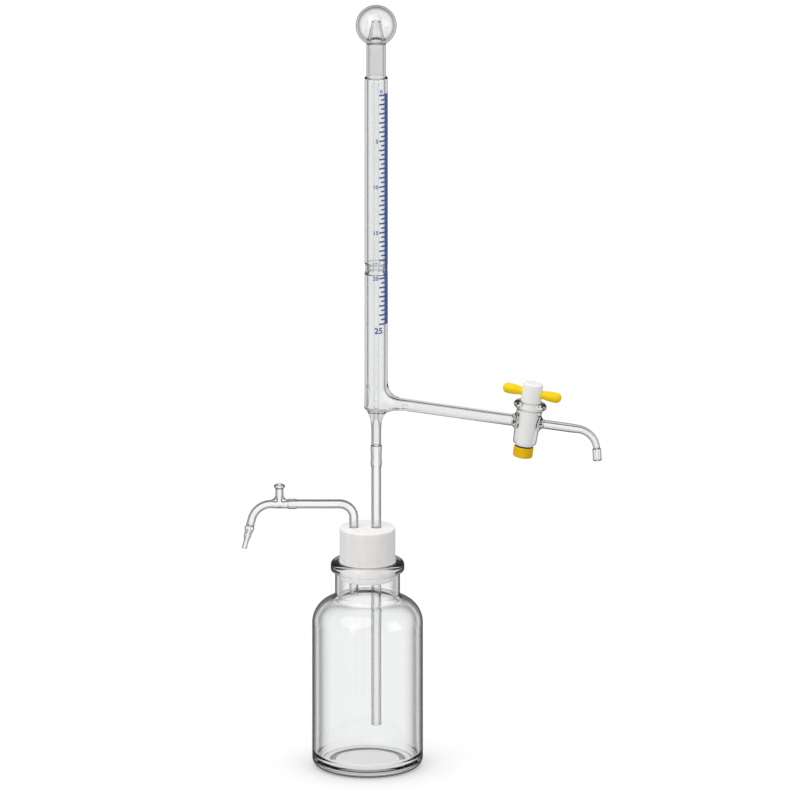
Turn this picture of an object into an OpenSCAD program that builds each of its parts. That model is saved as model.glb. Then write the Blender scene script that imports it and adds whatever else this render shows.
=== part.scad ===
// Automatic burette on a reagent bottle, in millimetres, with +Z up.
// The origin is the middle of the bottle's foot. The side arm points to +X, the air tube to -X.

/* [Bottle] */
// Outer diameter of the bottle
bottle_d = 86; // [76:1:96]
// Glass thickness of the side, shoulder and neck
bottle_wall = 3.5; // [2.5:0.1:4.5]
// Height of the inner floor above the foot
floor_h = 6; // [5:0.5:9]
// Height of the straight side, from the foot to the shoulder
side_h = 115; // [90:1:150]
// Rounding of the heel, inside and outside
heel_r = 7; // [4:0.5:10]
// Diameter of the hollow under the foot
punt_d = 58; // [30:1:60]
// Depth of the hollow under the foot
punt_h = 2.5; // [1:0.1:3.5]
// Rounding of the shoulder
shoulder_r = 20; // [12:0.5:22]
// Hollow rounding from the shoulder into the neck
neck_fillet = 4; // [2:0.5:6]
// Outer diameter of the neck
neck_d = 50.4; // [46:0.2:56]
// Height of the neck, from its rounding to the mouth
neck_h = 26.8; // [22:0.2:36]
// How far the lip stands out of the neck
lip_out = 3.4; // [2:0.1:5]
// Height of the lip
lip_h = 8; // [5:0.5:10]
// Rounding of the lip's outer edges
lip_round = 3.4; // [1.5:0.1:4]
// Rounding of the mouth's inner edge
mouth_round = 1.2; // [0.5:0.1:2]

/* [Stopper] */
// Height of the stopper above the mouth
stopper_out = 26.8; // [18:0.2:34]
// Depth of the stopper in the neck
stopper_in = 14; // [12:0.5:22]
// How much thinner the stopper's lower end is, on the radius
stopper_taper = 1; // [0.5:0.1:1.5]
// Rounding of the stopper's edges
stopper_edge = 0.9; // [0.4:0.1:1.4]
// Countersink of the two tube holes
hole_chamfer = 0.8; // [0.3:0.1:1.2]
// Distance of the burette from the bottle's axis
burette_x = 6.8; // [6:0.1:9]
// Distance of the air tube from the bottle's axis, on the other side
air_x = 10.6; // [9:0.1:13]
// Gap between the stopper and the mouth, on the radius
stopper_fit = 0.05; // [0.02:0.01:0.08]
// Gap between a tube and its hole in the stopper, on the radius
tube_fit = 0.04; // [0.02:0.01:0.08]

/* [Stem] */
// Outer diameter of the dip tube and stem
stem_d = 7.6; // [6.6:0.1:8.4]
// Bore of the dip tube and stem
stem_bore = 4.8; // [3.6:0.1:5.2]
// Gap between the bottle's floor and the dip tube
dip_gap = 26.5; // [10:0.5:40]
// Height of the stem's splice above the stopper
splice_h = 57.5; // [48:0.5:62]
// Length of the splice collar
splice_l = 17; // [10:0.5:22]
// Outer diameter of the splice collar
splice_d = 9; // [8.6:0.1:11]
// Height of the measuring tube's foot above the stopper
stem_h = 96.7; // [92:0.1:110]
// Height of the flare between the stem and the measuring tube's foot
bell_h = 16; // [12:0.5:20]
// Rounding of the flare's upper corner
bell_round = 3.2; // [2.6:0.1:4]
// Thickness of the seal across the flare
seal_t = 1.4; // [1:0.1:1.8]

/* [Measuring tube] */
// Outer diameter of the measuring tube
tube_d = 18; // [16.5:0.1:20]
// Bore of the measuring tube
tube_bore = 14.3; // [12.8:0.1:15]
// Length of the lower measuring tube
lower_tube_h = 108; // [80:1:130]
// Length of the centring ring
ring_h = 8.5; // [6:0.5:12]
// Depth of the groove round the centring ring
ring_groove = 0.5; // [0.2:0.1:0.8]
// Width of the ring's three lugs
lug_w = 2; // [1.2:0.1:3]
// Height of the ring's three lugs
lug_h = 5; // [3:0.5:5.5]
// Length of the upper measuring tube
upper_tube_h = 148; // [110:1:180]
// Outer diameter of the filling tube
filling_d = 5.6; // [4.8:0.1:6.4]
// Bore of the filling tube
filling_bore = 3.4; // [2.4:0.1:4]
// Height that the filling tube leaves free below the measuring tube's top
filling_gap = 4; // [2:0.5:12]

/* [Head] */
// Outer diameter of the head tube
head_d = 15.9; // [14.9:0.1:17]
// Glass thickness of the head tube
head_wall = 1.5; // [1:0.1:2]
// Length of the head tube below the bulb
head_h = 28.6; // [20:0.2:36]
// Outer diameter of the bulb
bulb_d = 31.8; // [27:0.2:38]
// Glass thickness of the bulb
bulb_wall = 1.6; // [1.2:0.1:2.2]
// Height of the spout inside the bulb, above the head tube
spout_h = 17; // [12:0.5:20]
// How much thinner the spout's root is than the head tube, on the radius
spout_step = 1.5; // [1:0.1:2]
// Outer diameter of the spout's tip
spout_d = 7; // [5.6:0.1:8]
// Diameter of the vent hole in the back of the bulb
bulb_vent = 2; // [1.2:0.1:3]

/* [Side arm] */
// Outer diameter of the side arm
arm_d = 9.5; // [8:0.1:10.5]
// Bore of the side arm
arm_bore = 6; // [4.5:0.1:6.4]
// Slope of the side arm, in degrees
arm_slope = 8.3; // [4:0.1:12]
// Height of the side arm's axis above the measuring tube's foot
arm_rise = 5.3; // [4.5:0.1:12]
// Distance from the burette's axis to the stopcock's axis
arm_l = 118.6; // [90:0.2:150]
// Rounding of the side arm's root
arm_flare = 4; // [2:0.1:4.2]

/* [Stopcock barrel] */
// Outer diameter of the barrel under its rim
barrel_d = 20.4; // [19.4:0.1:22]
// Outer diameter of the barrel's lower end
barrel_end_d = 18.3; // [17.6:0.1:19.4]
// Height of the barrel above the side arm's axis
barrel_up = 16.2; // [13:0.1:18]
// Depth of the barrel below the side arm's axis
barrel_down = 17.8; // [15:0.1:22]
// Rounding of the barrel's lower edge
barrel_edge = 1.6; // [0.5:0.1:1.8]
// How far the rim stands out of the barrel
rim_out = 2.8; // [1.5:0.1:3.5]
// Height of the rim
rim_h = 5.4; // [3:0.1:6]
// Diameter of the two port bosses
boss_d = 10.6; // [10.6:0.1:12]
// How far the port bosses stand out of the barrel
boss_out = 2.4; // [2:0.1:5]

/* [Stopcock key] */
// Diameter of the plug at the barrel's rim
plug_d = 15; // [14.4:0.1:15.4]
// Diameter of the plug at the barrel's lower end
plug_end_d = 13.2; // [12.4:0.1:13.8]
// How far the plug's end stays inside the barrel
plug_short = 0.8; // [0.4:0.1:1.5]
// Gap between the plug and the barrel, on the radius
plug_fit = 0.05; // [0.02:0.01:0.09]
// Bore through the plug
port_d = 2.5; // [1.5:0.1:3]
// Gap under the plug's head
head_gap = 0.3; // [0.2:0.05:0.6]
// Diameter of the plug's head
key_head_d = 15.6; // [15.4:0.1:18]
// Height of the plug's head
key_head_h = 15.3; // [12:0.1:17]
// Rounding of the head's upper edge
key_head_round = 1.6; // [0.5:0.1:2.2]
// Height of the cross bar above the head's lower face
bar_h = 7.2; // [5:0.1:8]
// Diameter of the cross bar
bar_d = 6.6; // [5:0.1:7]
// Length of the cross bar over its knobs
bar_l = 47; // [42:0.5:56]
// Diameter of the knobs
knob_d = 8.2; // [7.8:0.1:10]
// Length of a knob
knob_l = 13; // [11:0.5:14]
// Length of a knob's taper towards the bar
knob_taper = 4; // [1:0.1:5]
// Rounding of a knob's outer end
knob_round = 3.8; // [2:0.1:3.8]
// Depth of the bar's socket in a knob
knob_socket = 8.5; // [6:0.1:9]
// Turn of the cross bar from the side arm towards the front, in degrees
bar_turn = 14; // [0:1:30]

/* [Tension nut] */
// Diameter of the plug's threaded end
stub_d = 8.8; // [7:0.1:9.4]
// Length of the threaded end below the plug
stub_l = 10.4; // [8:0.1:11]
// Gap between the threaded end and the nut, on the radius
stub_fit = 0.05; // [0.02:0.01:0.09]
// Gap between the barrel and the washer
washer_gap = 0.1; // [0.05:0.01:0.2]
// Diameter of the washer
washer_d = 14.6; // [13.6:0.1:16]
// Thickness of the washer
washer_t = 1; // [0.8:0.1:2]
// Thickness of the spring ring
o_ring_t = 2; // [1.4:0.1:2.2]
// Gap between the threaded end and the loose rings, on the radius
loose_fit = 0.2; // [0.1:0.05:0.3]
// Diameter of the nut
nut_d = 15.4; // [15:0.1:18]
// Height of the nut
nut_h = 9; // [8:0.1:10.5]
// Depth of the cup in the nut's upper face
nut_cup = 1.9; // [0.8:0.1:2]
// Rounding of the nut's lower edge
nut_round = 1.4; // [0.5:0.1:2]

/* [Delivery tube] */
// Outer diameter of the straight outlet
outlet_d = 7; // [6.6:0.1:8]
// Bore of the outlet
outlet_bore = 3; // [2.2:0.1:3.4]
// Distance from the stopcock's axis to the outlet's bend
outlet_l = 39.4; // [30:0.2:56]
// Outer diameter of the bend
bend_d = 6.2; // [5.6:0.1:6.6]
// Radius of the bend
bend_r = 17; // [12:0.5:24]
// Angle of the bend, in degrees
bend_angle = 78; // [60:1:86]
// Outer diameter of the jet tip
jet_d = 6.9; // [6.2:0.1:7.6]
// Bore of the jet tip
jet_bore = 2.2; // [1:0.1:2.2]
// Length of the jet tip
jet_l = 9.7; // [7:0.1:16]
// Rounding of the jet tip's edges
jet_edge = 0.6; // [0.2:0.1:1]

/* [Air tube] */
// Outer diameter of the air tube
air_d = 7; // [6.2:0.1:7.8]
// Bore of the air tube
air_bore = 4.6; // [3.6:0.1:4.8]
// Length of the air tube below the stopper
air_below = 13; // [6:0.5:16]
// Height of the level run above the stopper
air_rise = 18.7; // [16:0.1:28]
// Radius of the elbow
elbow_r = 11; // [9:0.5:14]
// Length of the level run, from the upright leg to the splice
air_reach = 47.9; // [36:0.1:70]
// Outer diameter of the splice collar
collar_d = 8.3; // [8.1:0.1:10]
// Length of the splice collar
collar_l = 6.5; // [4:0.1:8]
// Length of the tee, from the splice to its bend
tee_l = 15.7; // [14.6:0.1:24]
// Distance from the splice to the vent spout
vent_at = 9.8; // [9:0.1:10.5]
// Height of the vent spout above the level run
vent_h = 15.5; // [12:0.1:20]
// Outer diameter of the vent spout
vent_d = 6.3; // [5.4:0.1:6.6]
// Bore of the vent spout
vent_bore = 3.8; // [2.6:0.1:4.2]
// How far the vent spout's rim stands out
vent_rim_out = 1.3; // [0.6:0.1:2]
// Height of the vent spout's rim
vent_rim_h = 2.6; // [1.6:0.1:3.4]
// Rounding of the vent spout's root
vent_flare = 2; // [1:0.1:2.4]
// Outer diameter of the down-turned end
tail_d = 6.4; // [5.6:0.1:6.8]
// Bore of the down-turned end
tail_bore = 4; // [2.8:0.1:4.2]
// Radius of the tee's bend
tail_r = 16; // [12:0.5:22]
// Angle of the tee's bend, in degrees
tail_angle = 76; // [45:1:90]
// Length of the straight end after the bend
tail_l = 5.6; // [3:0.1:12]

/* [Hose nozzle] */
// Diameter of the first barb
barb_d = 7.8; // [7:0.1:9]
// Diameter of the second barb
small_barb_d = 6.2; // [5.8:0.1:6.8]
// Diameter behind each barb
waist_d = 5.2; // [4.6:0.1:5.6]
// Length of each barb
barb_l = 5.2; // [4:0.1:7]
// Diameter of the tip
nozzle_d = 4; // [3.4:0.1:4.5]
// Length of the tip
nozzle_l = 6.4; // [4:0.1:10]
// Bore of the nozzle
nozzle_bore = 2.4; // [1.4:0.1:2.6]

/* [Hidden] */
$fn = 96;
// Gap between fused glass pieces whose meeting faces are curved or tilted, and between pressed pieces
fuse_gap = 0.02;
// Overshoot of a cutting shape
cut = 1;
glass = [0.80, 0.88, 0.92, 0.45];
rubber_white = [0.93, 0.92, 0.90];
plug_white = [0.97, 0.97, 0.97];
handle_yellow = [0.98, 0.82, 0.05];
nut_yellow = [0.84, 0.66, 0.02];
ring_grey = [0.20, 0.20, 0.20];

bottle_r = bottle_d / 2;
neck_r = neck_d / 2;
mouth_r = neck_r - bottle_wall;
lip_r = neck_r + lip_out;
lip_corner = min(lip_round, lip_h / 2, lip_out);
shoulder_x = bottle_r - shoulder_r;
shoulder_lean = max(0, neck_r + neck_fillet - shoulder_x);
shoulder_rise = sqrt(pow(shoulder_r + neck_fillet, 2) - pow(shoulder_lean, 2));
shoulder_a = atan2(shoulder_rise, shoulder_lean);
mouth_z = side_h + shoulder_rise + neck_h;

stopper_r = mouth_r - stopper_fit;
stopper_top = mouth_z + stopper_out;
stopper_end = mouth_z - stopper_in;

stem_r = stem_d / 2;
splice_z = stopper_top + splice_h;
foot_z = stopper_top + stem_h;
seal_z = foot_z - bell_round + seal_t;
tube_r = tube_d / 2;
bore_r = tube_bore / 2;
ring_z = foot_z + lower_tube_h;
upper_z = ring_z + ring_h;
tube_top = upper_z + upper_tube_h;

head_r = head_d / 2;
bulb_r = bulb_d / 2;
bulb_z = tube_top + head_h + sqrt(pow(bulb_r, 2) - pow(head_r, 2));
head_top = bulb_z - sqrt(pow(bulb_r - bulb_wall, 2) - pow(head_r, 2));

arm_r = arm_d / 2;
barrel_r = barrel_d / 2;
boss_reach = barrel_r + boss_out;
key_head_z = barrel_up + head_gap;
bar_z = key_head_z + bar_h;
stub_r = stub_d / 2;
washer_z = -barrel_down - washer_gap;
o_ring_z = washer_z - washer_t - fuse_gap - o_ring_t / 2;
o_ring_r = stub_r + loose_fit + o_ring_t / 2;
cup_r = o_ring_r + o_ring_t / 2 + loose_fit;
cup_z = o_ring_z - o_ring_t / 2 - washer_gap;
nut_top = cup_z + min(nut_cup, o_ring_t);

air_z = stopper_top + air_rise;
splice_x = -air_x - air_reach;
tail_x = splice_x - tee_l;

// Radius of the plug at a height above the side arm's axis
function plug_r(z) = (plug_end_d + (plug_d - plug_end_d) * (z + barrel_down) / (barrel_up + barrel_down)) / 2;

// Points of an arc round a centre, from one angle to another
function arc(centre, r, from, to, steps = 8) = [
    for (i = [0 : steps])
        let (a = from + (to - from) * i / steps)
        centre + r * [cos(a), sin(a)]
];

// Straight tube that stands on z = 0
module tube(od, bore, h) {
    rotate_extrude()
        translate([bore / 2, 0])
            square([(od - bore) / 2, h]);
}

// Bent tube in the XZ plane round the origin, from +X towards +Z
module bent_tube(od, bore, r, angle) {
    rotate([90, 0, 0])
        rotate_extrude(angle = angle)
            translate([r, 0])
                difference() {
                    circle(d = od);
                    circle(d = bore);
                }
}

module on_burette(z) {
    translate([burette_x, 0, z])
        children();
}

// X along the side arm, Z along the stopcock's axis, from the burette's axis
module on_arm() {
    on_burette(foot_z + arm_rise)
        rotate([0, arm_slope, 0])
            children();
}

module on_stopcock() {
    on_arm()
        translate([arm_l, 0, 0])
            children();
}

module on_key() {
    on_stopcock()
        rotate([0, 0, -bar_turn])
            children();
}

// Z along the jet, from the end of the outlet's bend
module on_jet() {
    on_stopcock()
        translate([outlet_l, 0, -bend_r])
            rotate([0, bend_angle - 90, 0])
                translate([bend_r, 0, 0])
                    rotate([180, 0, 0])
                        children();
}

// Z along the down-turned end, from the end of the tee's bend
module on_tail() {
    translate([tail_x, 0, air_z - tail_r])
        rotate([0, 90 - tail_angle, 0])
            translate([-tail_r, 0, 0])
                rotate([180, 0, 0])
                    children();
}

module reagent_bottle() {
    punt_r = punt_d / 2;
    punt_arc_r = (pow(punt_r, 2) + pow(punt_h, 2)) / (2 * punt_h);
    punt_a = asin(punt_r / punt_arc_r);
    heel = [bottle_r - heel_r, heel_r];
    shoulder = [shoulder_x, side_h];
    fillet = [neck_r + neck_fillet, side_h + shoulder_rise];
    inner_heel = [bottle_r - bottle_wall - heel_r, floor_h + heel_r];
    outside = concat(
        arc([0, punt_h - punt_arc_r], punt_arc_r, 90, 90 - punt_a),
        arc(heel, heel_r, -90, 0),
        arc(shoulder, shoulder_r, 0, shoulder_a),
        arc(fillet, neck_fillet, 180 + shoulder_a, 180),
        [[neck_r, mouth_z - lip_h]],
        arc([lip_r - lip_corner, mouth_z - lip_h + lip_corner], lip_corner, -90, 0),
        arc([lip_r - lip_corner, mouth_z - lip_corner], lip_corner, 0, 90)
    );
    inside = concat(
        arc([mouth_r + mouth_round, mouth_z - mouth_round], mouth_round, 90, 180, 4),
        arc(fillet, neck_fillet + bottle_wall, 180, 180 + shoulder_a),
        arc(shoulder, shoulder_r - bottle_wall, shoulder_a, 0),
        arc(inner_heel, heel_r, 0, -90),
        [[0, floor_h]]
    );
    color(glass)
        rotate_extrude()
            polygon(concat(outside, inside));
}

// Hole for a tube right through the stopper, countersunk at the top
module stopper_hole(tube_od) {
    hole_r = tube_od / 2 + tube_fit;
    translate([0, 0, stopper_end - cut])
        cylinder(r = hole_r, h = stopper_top - stopper_end + 2 * cut);
    translate([0, 0, stopper_top - hole_chamfer])
        cylinder(r1 = hole_r, r2 = hole_r + 2 * hole_chamfer, h = 2 * hole_chamfer);
}

module rubber_stopper() {
    end_r = stopper_r - stopper_taper;
    outline = concat(
        [[0, stopper_end]],
        arc([end_r - stopper_edge, stopper_end + stopper_edge], stopper_edge, -90, 0, 4),
        [[stopper_r, mouth_z - mouth_round]],
        arc([stopper_r - stopper_edge, stopper_top - stopper_edge], stopper_edge, 0, 90, 4),
        [[0, stopper_top]]
    );
    color(rubber_white)
        difference() {
            rotate_extrude()
                polygon(outline);
            translate([burette_x, 0, 0])
                stopper_hole(stem_d);
            translate([-air_x, 0, 0])
                stopper_hole(air_d);
        }
}

module dip_tube() {
    end_z = floor_h + dip_gap;
    color(glass)
        on_burette(end_z)
            tube(stem_d, stem_bore, splice_z - end_z);
}

module stem_collar() {
    color(glass)
        on_burette(splice_z - splice_l / 2)
            tube(splice_d, stem_d + 2 * fuse_gap, splice_l);
}

module bell_stem() {
    filling_r = filling_bore / 2;
    cup_round = foot_z - seal_z;
    outline = concat(
        [[stem_bore / 2, splice_z], [stem_r, splice_z], [stem_r, foot_z - bell_h]],
        arc([tube_r - bell_round, foot_z], bell_round, -90, 0),
        arc([bore_r - cup_round, foot_z], cup_round, 0, -90),
        [[filling_r, seal_z], [filling_r, foot_z - bell_round], [stem_bore / 2, foot_z - bell_h]]
    );
    color(glass)
        difference() {
            on_burette(0)
                rotate_extrude()
                    polygon(outline);
            arm_hole();
        }
}

// Way from the measuring tube into the side arm
module arm_hole() {
    on_arm()
        rotate([0, 90, 0])
            cylinder(d = arm_bore, h = tube_d);
}

module lower_measuring_tube() {
    color(glass)
        difference() {
            on_burette(foot_z)
                tube(tube_d, tube_bore, lower_tube_h);
            arm_hole();
        }
}

module centring_ring() {
    lug_count = 3;
    groove_r = tube_r - ring_groove;
    outline = [
        [bore_r, 0], [tube_r, 0],
        [groove_r, ring_groove], [groove_r, ring_h - ring_groove],
        [tube_r, ring_h], [bore_r, ring_h]
    ];
    color(glass)
        on_burette(ring_z) {
            rotate_extrude()
                polygon(outline);
            difference() {
                for (i = [0 : lug_count - 1])
                    rotate([0, 0, 90 + i * 360 / lug_count])
                        translate([0, -lug_w / 2, (ring_h - lug_h) / 2])
                            cube([(bore_r + groove_r) / 2, lug_w, lug_h]);
                translate([0, 0, -cut])
                    cylinder(r = filling_d / 2 + fuse_gap, h = ring_h + 2 * cut);
            }
        }
}

module upper_measuring_tube() {
    color(glass)
        on_burette(upper_z)
            tube(tube_d, tube_bore, upper_tube_h);
}

module filling_tube() {
    color(glass)
        on_burette(seal_z)
            tube(filling_d, filling_bore, tube_top - filling_gap - seal_z);
}

module head_tube() {
    tip_z = tube_top + head_h + spout_h;
    root_r = head_r - spout_step;
    inner_r = head_r - head_wall;
    tip_r = spout_d / 2;
    outline = [
        [inner_r, tube_top], [head_r, tube_top],
        [head_r, head_top], [root_r, head_top], [tip_r, tip_z],
        [tip_r - head_wall, tip_z], [root_r - head_wall, head_top],
        [inner_r, head_top - 2 * spout_step]
    ];
    color(glass)
        on_burette(0)
            rotate_extrude()
                polygon(outline);
}

module overflow_bulb() {
    vent_tilt = 35;
    color(glass)
        on_burette(bulb_z)
            difference() {
                sphere(d = bulb_d);
                sphere(d = bulb_d - 2 * bulb_wall);
                translate([0, 0, -bulb_r - cut])
                    cylinder(r = head_r + fuse_gap, h = bulb_r);
                rotate([vent_tilt - 90, 0, 0])
                    cylinder(d = bulb_vent, h = bulb_r + cut);
            }
}

module side_arm() {
    root = concat(
        [[0, 0], [arm_r + arm_flare, 0], [arm_r + arm_flare, tube_r]],
        arc([arm_r + arm_flare, tube_r + arm_flare], arm_flare, -90, -180),
        [[arm_r, arm_l - boss_reach - fuse_gap], [0, arm_l - boss_reach - fuse_gap]]
    );
    color(glass)
        difference() {
            on_arm()
                difference() {
                    rotate([0, 90, 0])
                        rotate_extrude()
                            polygon(root);
                    rotate([0, 90, 0])
                        cylinder(d = arm_bore, h = arm_l);
                    translate([0, -tube_d, -arm_r - tube_d])
                        cube([tube_d + arm_flare, 2 * tube_d, tube_d]);
                }
            on_burette(foot_z - tube_d)
                cylinder(r = tube_r + fuse_gap, h = 3 * tube_d);
        }
}

// Port boss along +Z that narrows to the tube that leaves it
module port_boss(tube_od) {
    outline = [
        [0, 0], [boss_d / 2, 0], [boss_d / 2, barrel_r],
        [tube_od / 2, boss_reach], [0, boss_reach]
    ];
    rotate_extrude()
        polygon(outline);
}

// Way along +Z from the plug to the tube that leaves the boss
module port_way(tube_bore) {
    wall_x = plug_d / 2;
    cylinder(d = port_d, h = wall_x);
    translate([0, 0, wall_x])
        cylinder(d1 = port_d, d2 = tube_bore, h = boss_reach - wall_x);
}

module stopcock_barrel() {
    rim_r = barrel_r + rim_out;
    rim_corner = min(rim_h / 2, rim_out);
    end_r = barrel_end_d / 2;
    outline = concat(
        [[0, -barrel_down]],
        arc([end_r - barrel_edge, -barrel_down + barrel_edge], barrel_edge, -90, 0, 4),
        [[barrel_r, barrel_up - rim_h]],
        arc([rim_r - rim_corner, barrel_up - rim_h + rim_corner], rim_corner, -90, 0),
        arc([rim_r - rim_corner, barrel_up - rim_corner], rim_corner, 0, 90),
        [[0, barrel_up]]
    );
    color(glass)
        on_stopcock()
            difference() {
                union() {
                    rotate_extrude()
                        polygon(outline);
                    rotate([0, 90, 0])
                        port_boss(outlet_d);
                    rotate([0, -90, 0])
                        port_boss(arm_d);
                }
                translate([0, 0, -barrel_down - cut])
                    cylinder(
                        r1 = plug_r(-barrel_down - cut) + plug_fit,
                        r2 = plug_r(barrel_up + cut) + plug_fit,
                        h = barrel_up + barrel_down + 2 * cut
                    );
                rotate([0, 90, 0])
                    port_way(outlet_bore);
                rotate([0, -90, 0])
                    port_way(arm_bore);
            }
}

module stopcock_plug() {
    end_z = plug_short - barrel_down;
    tip_z = end_z - stub_l;
    tip_edge = 0.6;
    head_r = key_head_d / 2;
    head_top = key_head_z + key_head_h;
    outline = concat(
        [[0, tip_z], [stub_r - tip_edge, tip_z], [stub_r, tip_z + tip_edge], [stub_r, end_z]],
        [[plug_r(end_z), end_z], [plug_r(barrel_up), barrel_up], [plug_r(barrel_up), key_head_z]],
        [[head_r, key_head_z]],
        arc([head_r - key_head_round, head_top - key_head_round], key_head_round, 0, 90, 6),
        [[0, head_top]]
    );
    color(plug_white)
        on_key()
            difference() {
                rotate_extrude()
                    polygon(outline);
                translate([-plug_d, 0, 0])
                    rotate([0, 90, 0])
                        cylinder(d = port_d, h = 2 * plug_d);
                translate([-key_head_d, 0, bar_z])
                    rotate([0, 90, 0])
                        cylinder(d = bar_d + 2 * fuse_gap, h = 2 * key_head_d);
            }
}

module handle_rod() {
    rod_l = bar_l - 2 * (knob_l - knob_socket) - 2 * fuse_gap;
    color(handle_yellow)
        on_key()
            translate([-rod_l / 2, 0, bar_z])
                rotate([0, 90, 0])
                    cylinder(d = bar_d, h = rod_l);
}

// Knob with its socket on z = 0 and its round end up
module knob() {
    socket_r = bar_d / 2 + fuse_gap;
    knob_r = knob_d / 2;
    outline = concat(
        [[socket_r, 0], [knob_r, knob_taper]],
        arc([knob_r - knob_round, knob_l - knob_round], knob_round, 0, 90),
        [[0, knob_l], [0, knob_socket], [socket_r, knob_socket]]
    );
    color(handle_yellow)
        rotate_extrude()
            polygon(outline);
}

module handle_knob_left() {
    on_key()
        translate([knob_l - bar_l / 2, 0, bar_z])
            rotate([0, -90, 0])
                knob();
}

module handle_knob_right() {
    on_key()
        translate([bar_l / 2 - knob_l, 0, bar_z])
            rotate([0, 90, 0])
                knob();
}

module ptfe_washer() {
    color(plug_white)
        on_key()
            translate([0, 0, washer_z - washer_t])
                tube(washer_d, stub_d + 2 * loose_fit, washer_t);
}

module o_ring() {
    color(ring_grey)
        on_key()
            translate([0, 0, o_ring_z])
                rotate_extrude()
                    translate([o_ring_r, 0])
                        circle(d = o_ring_t);
}

module tension_nut() {
    nut_r = nut_d / 2;
    thread_r = stub_r + stub_fit;
    nut_end = nut_top - nut_h;
    outline = concat(
        [[thread_r, nut_end]],
        arc([nut_r - nut_round, nut_end + nut_round], nut_round, -90, 0, 6),
        [[nut_r, nut_top], [cup_r, nut_top], [cup_r, cup_z], [thread_r, cup_z]]
    );
    color(nut_yellow)
        on_key()
            rotate_extrude()
                polygon(outline);
}

module delivery_tube() {
    start = boss_reach + fuse_gap;
    neck_l = outlet_d - bend_d;
    neck_x = outlet_l - neck_l;
    outline = [
        [outlet_bore / 2, start], [outlet_d / 2, start], [outlet_d / 2, neck_x],
        [bend_d / 2, outlet_l], [outlet_bore / 2, outlet_l]
    ];
    color(glass)
        on_stopcock() {
            rotate([0, 90, 0])
                rotate_extrude()
                    polygon(outline);
            translate([outlet_l, 0, -bend_r])
                mirror([1, 0, 0])
                    rotate([0, -90, 0])
                        bent_tube(bend_d, outlet_bore, bend_r, bend_angle);
        }
}

module jet_tip() {
    jet_r = jet_d / 2;
    outline = concat(
        [[jet_bore / 2, fuse_gap]],
        arc([jet_r - jet_edge, fuse_gap + jet_edge], jet_edge, -90, 0, 4),
        arc([jet_r - jet_edge, jet_l - jet_edge], jet_edge, 0, 90, 4),
        [[jet_bore / 2, jet_l]]
    );
    color(glass)
        on_jet()
            rotate_extrude()
                polygon(outline);
}

module air_elbow_tube() {
    leg_z = stopper_end - air_below;
    bend_z = air_z - elbow_r;
    color(glass)
        translate([-air_x, 0, 0]) {
            translate([0, 0, leg_z])
                tube(air_d, air_bore, bend_z - leg_z);
            translate([-elbow_r, 0, bend_z])
                bent_tube(air_d, air_bore, elbow_r, 90);
            translate([-elbow_r, 0, air_z])
                rotate([0, -90, 0])
                    tube(air_d, air_bore, air_reach - elbow_r);
        }
}

module air_joint_collar() {
    color(glass)
        translate([splice_x + collar_l / 2, 0, air_z])
            rotate([0, -90, 0])
                tube(collar_d, air_d + 2 * fuse_gap, collar_l);
}

module vent_tee_tube() {
    neck_l = air_d - tail_d;
    outline = [
        [tail_bore / 2, 0], [air_d / 2, 0], [air_d / 2, tee_l - neck_l],
        [tail_d / 2, tee_l], [tail_bore / 2, tee_l]
    ];
    color(glass)
        difference() {
            union() {
                translate([splice_x, 0, air_z])
                    rotate([0, -90, 0])
                        rotate_extrude()
                            polygon(outline);
                translate([tail_x, 0, air_z - tail_r])
                    rotate([0, -90, 0])
                        bent_tube(tail_d, tail_bore, tail_r, tail_angle);
                on_tail()
                    tube(tail_d, tail_bore, tail_l);
            }
            translate([splice_x - vent_at, 0, air_z])
                cylinder(d = vent_bore, h = air_d);
        }
}

module vent_spout() {
    vent_r = vent_d / 2;
    rim_r = vent_r + vent_rim_out;
    rim_corner = min(vent_rim_h / 2, vent_rim_out);
    root_r = vent_r + vent_flare;
    root_z = air_d / 2;
    outline = concat(
        [[vent_bore / 2, 0], [root_r, 0], [root_r, root_z - vent_flare / 2]],
        arc([root_r, root_z + vent_flare / 2], vent_flare, -90, -180, 6),
        [[vent_r, vent_h - vent_rim_h]],
        arc([rim_r - rim_corner, vent_h - vent_rim_h + rim_corner], rim_corner, -90, 0, 6),
        arc([rim_r - rim_corner, vent_h - rim_corner], rim_corner, 0, 90, 6),
        [[vent_bore / 2, vent_h]]
    );
    color(glass)
        difference() {
            translate([splice_x - vent_at, 0, air_z])
                rotate_extrude()
                    polygon(outline);
            translate([splice_x + cut, 0, air_z])
                rotate([0, -90, 0])
                    cylinder(r = air_d / 2 + fuse_gap, h = tee_l + 2 * cut);
            translate([tail_x - air_d, -air_d, air_z - air_d])
                cube([tee_l + 2 * air_d, 2 * air_d, air_d]);
        }
}

module hose_nozzle() {
    root = tail_l + fuse_gap;
    barb_rise = 2;
    first = root + barb_rise;
    second = first + barb_l;
    tip = second + barb_l;
    outline = [
        [nozzle_bore / 2, root], [tail_d / 2, root], [barb_d / 2, first],
        [waist_d / 2, second - (small_barb_d - waist_d) / 2], [small_barb_d / 2, second],
        [nozzle_d / 2, tip], [nozzle_d / 2, tip + nozzle_l], [nozzle_bore / 2, tip + nozzle_l]
    ];
    color(glass)
        on_tail()
            rotate_extrude()
                polygon(outline);
}

reagent_bottle();
rubber_stopper();
dip_tube();
stem_collar();
bell_stem();
lower_measuring_tube();
centring_ring();
upper_measuring_tube();
filling_tube();
head_tube();
overflow_bulb();
side_arm();
stopcock_barrel();
delivery_tube();
jet_tip();
stopcock_plug();
handle_rod();
handle_knob_left();
handle_knob_right();
ptfe_washer();
o_ring();
tension_nut();
air_elbow_tube();
air_joint_collar();
vent_tee_tube();
vent_spout();
hose_nozzle();
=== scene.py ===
import math

import bmesh
import bpy
import numpy as np
from mathutils import Matrix, Vector


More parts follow.
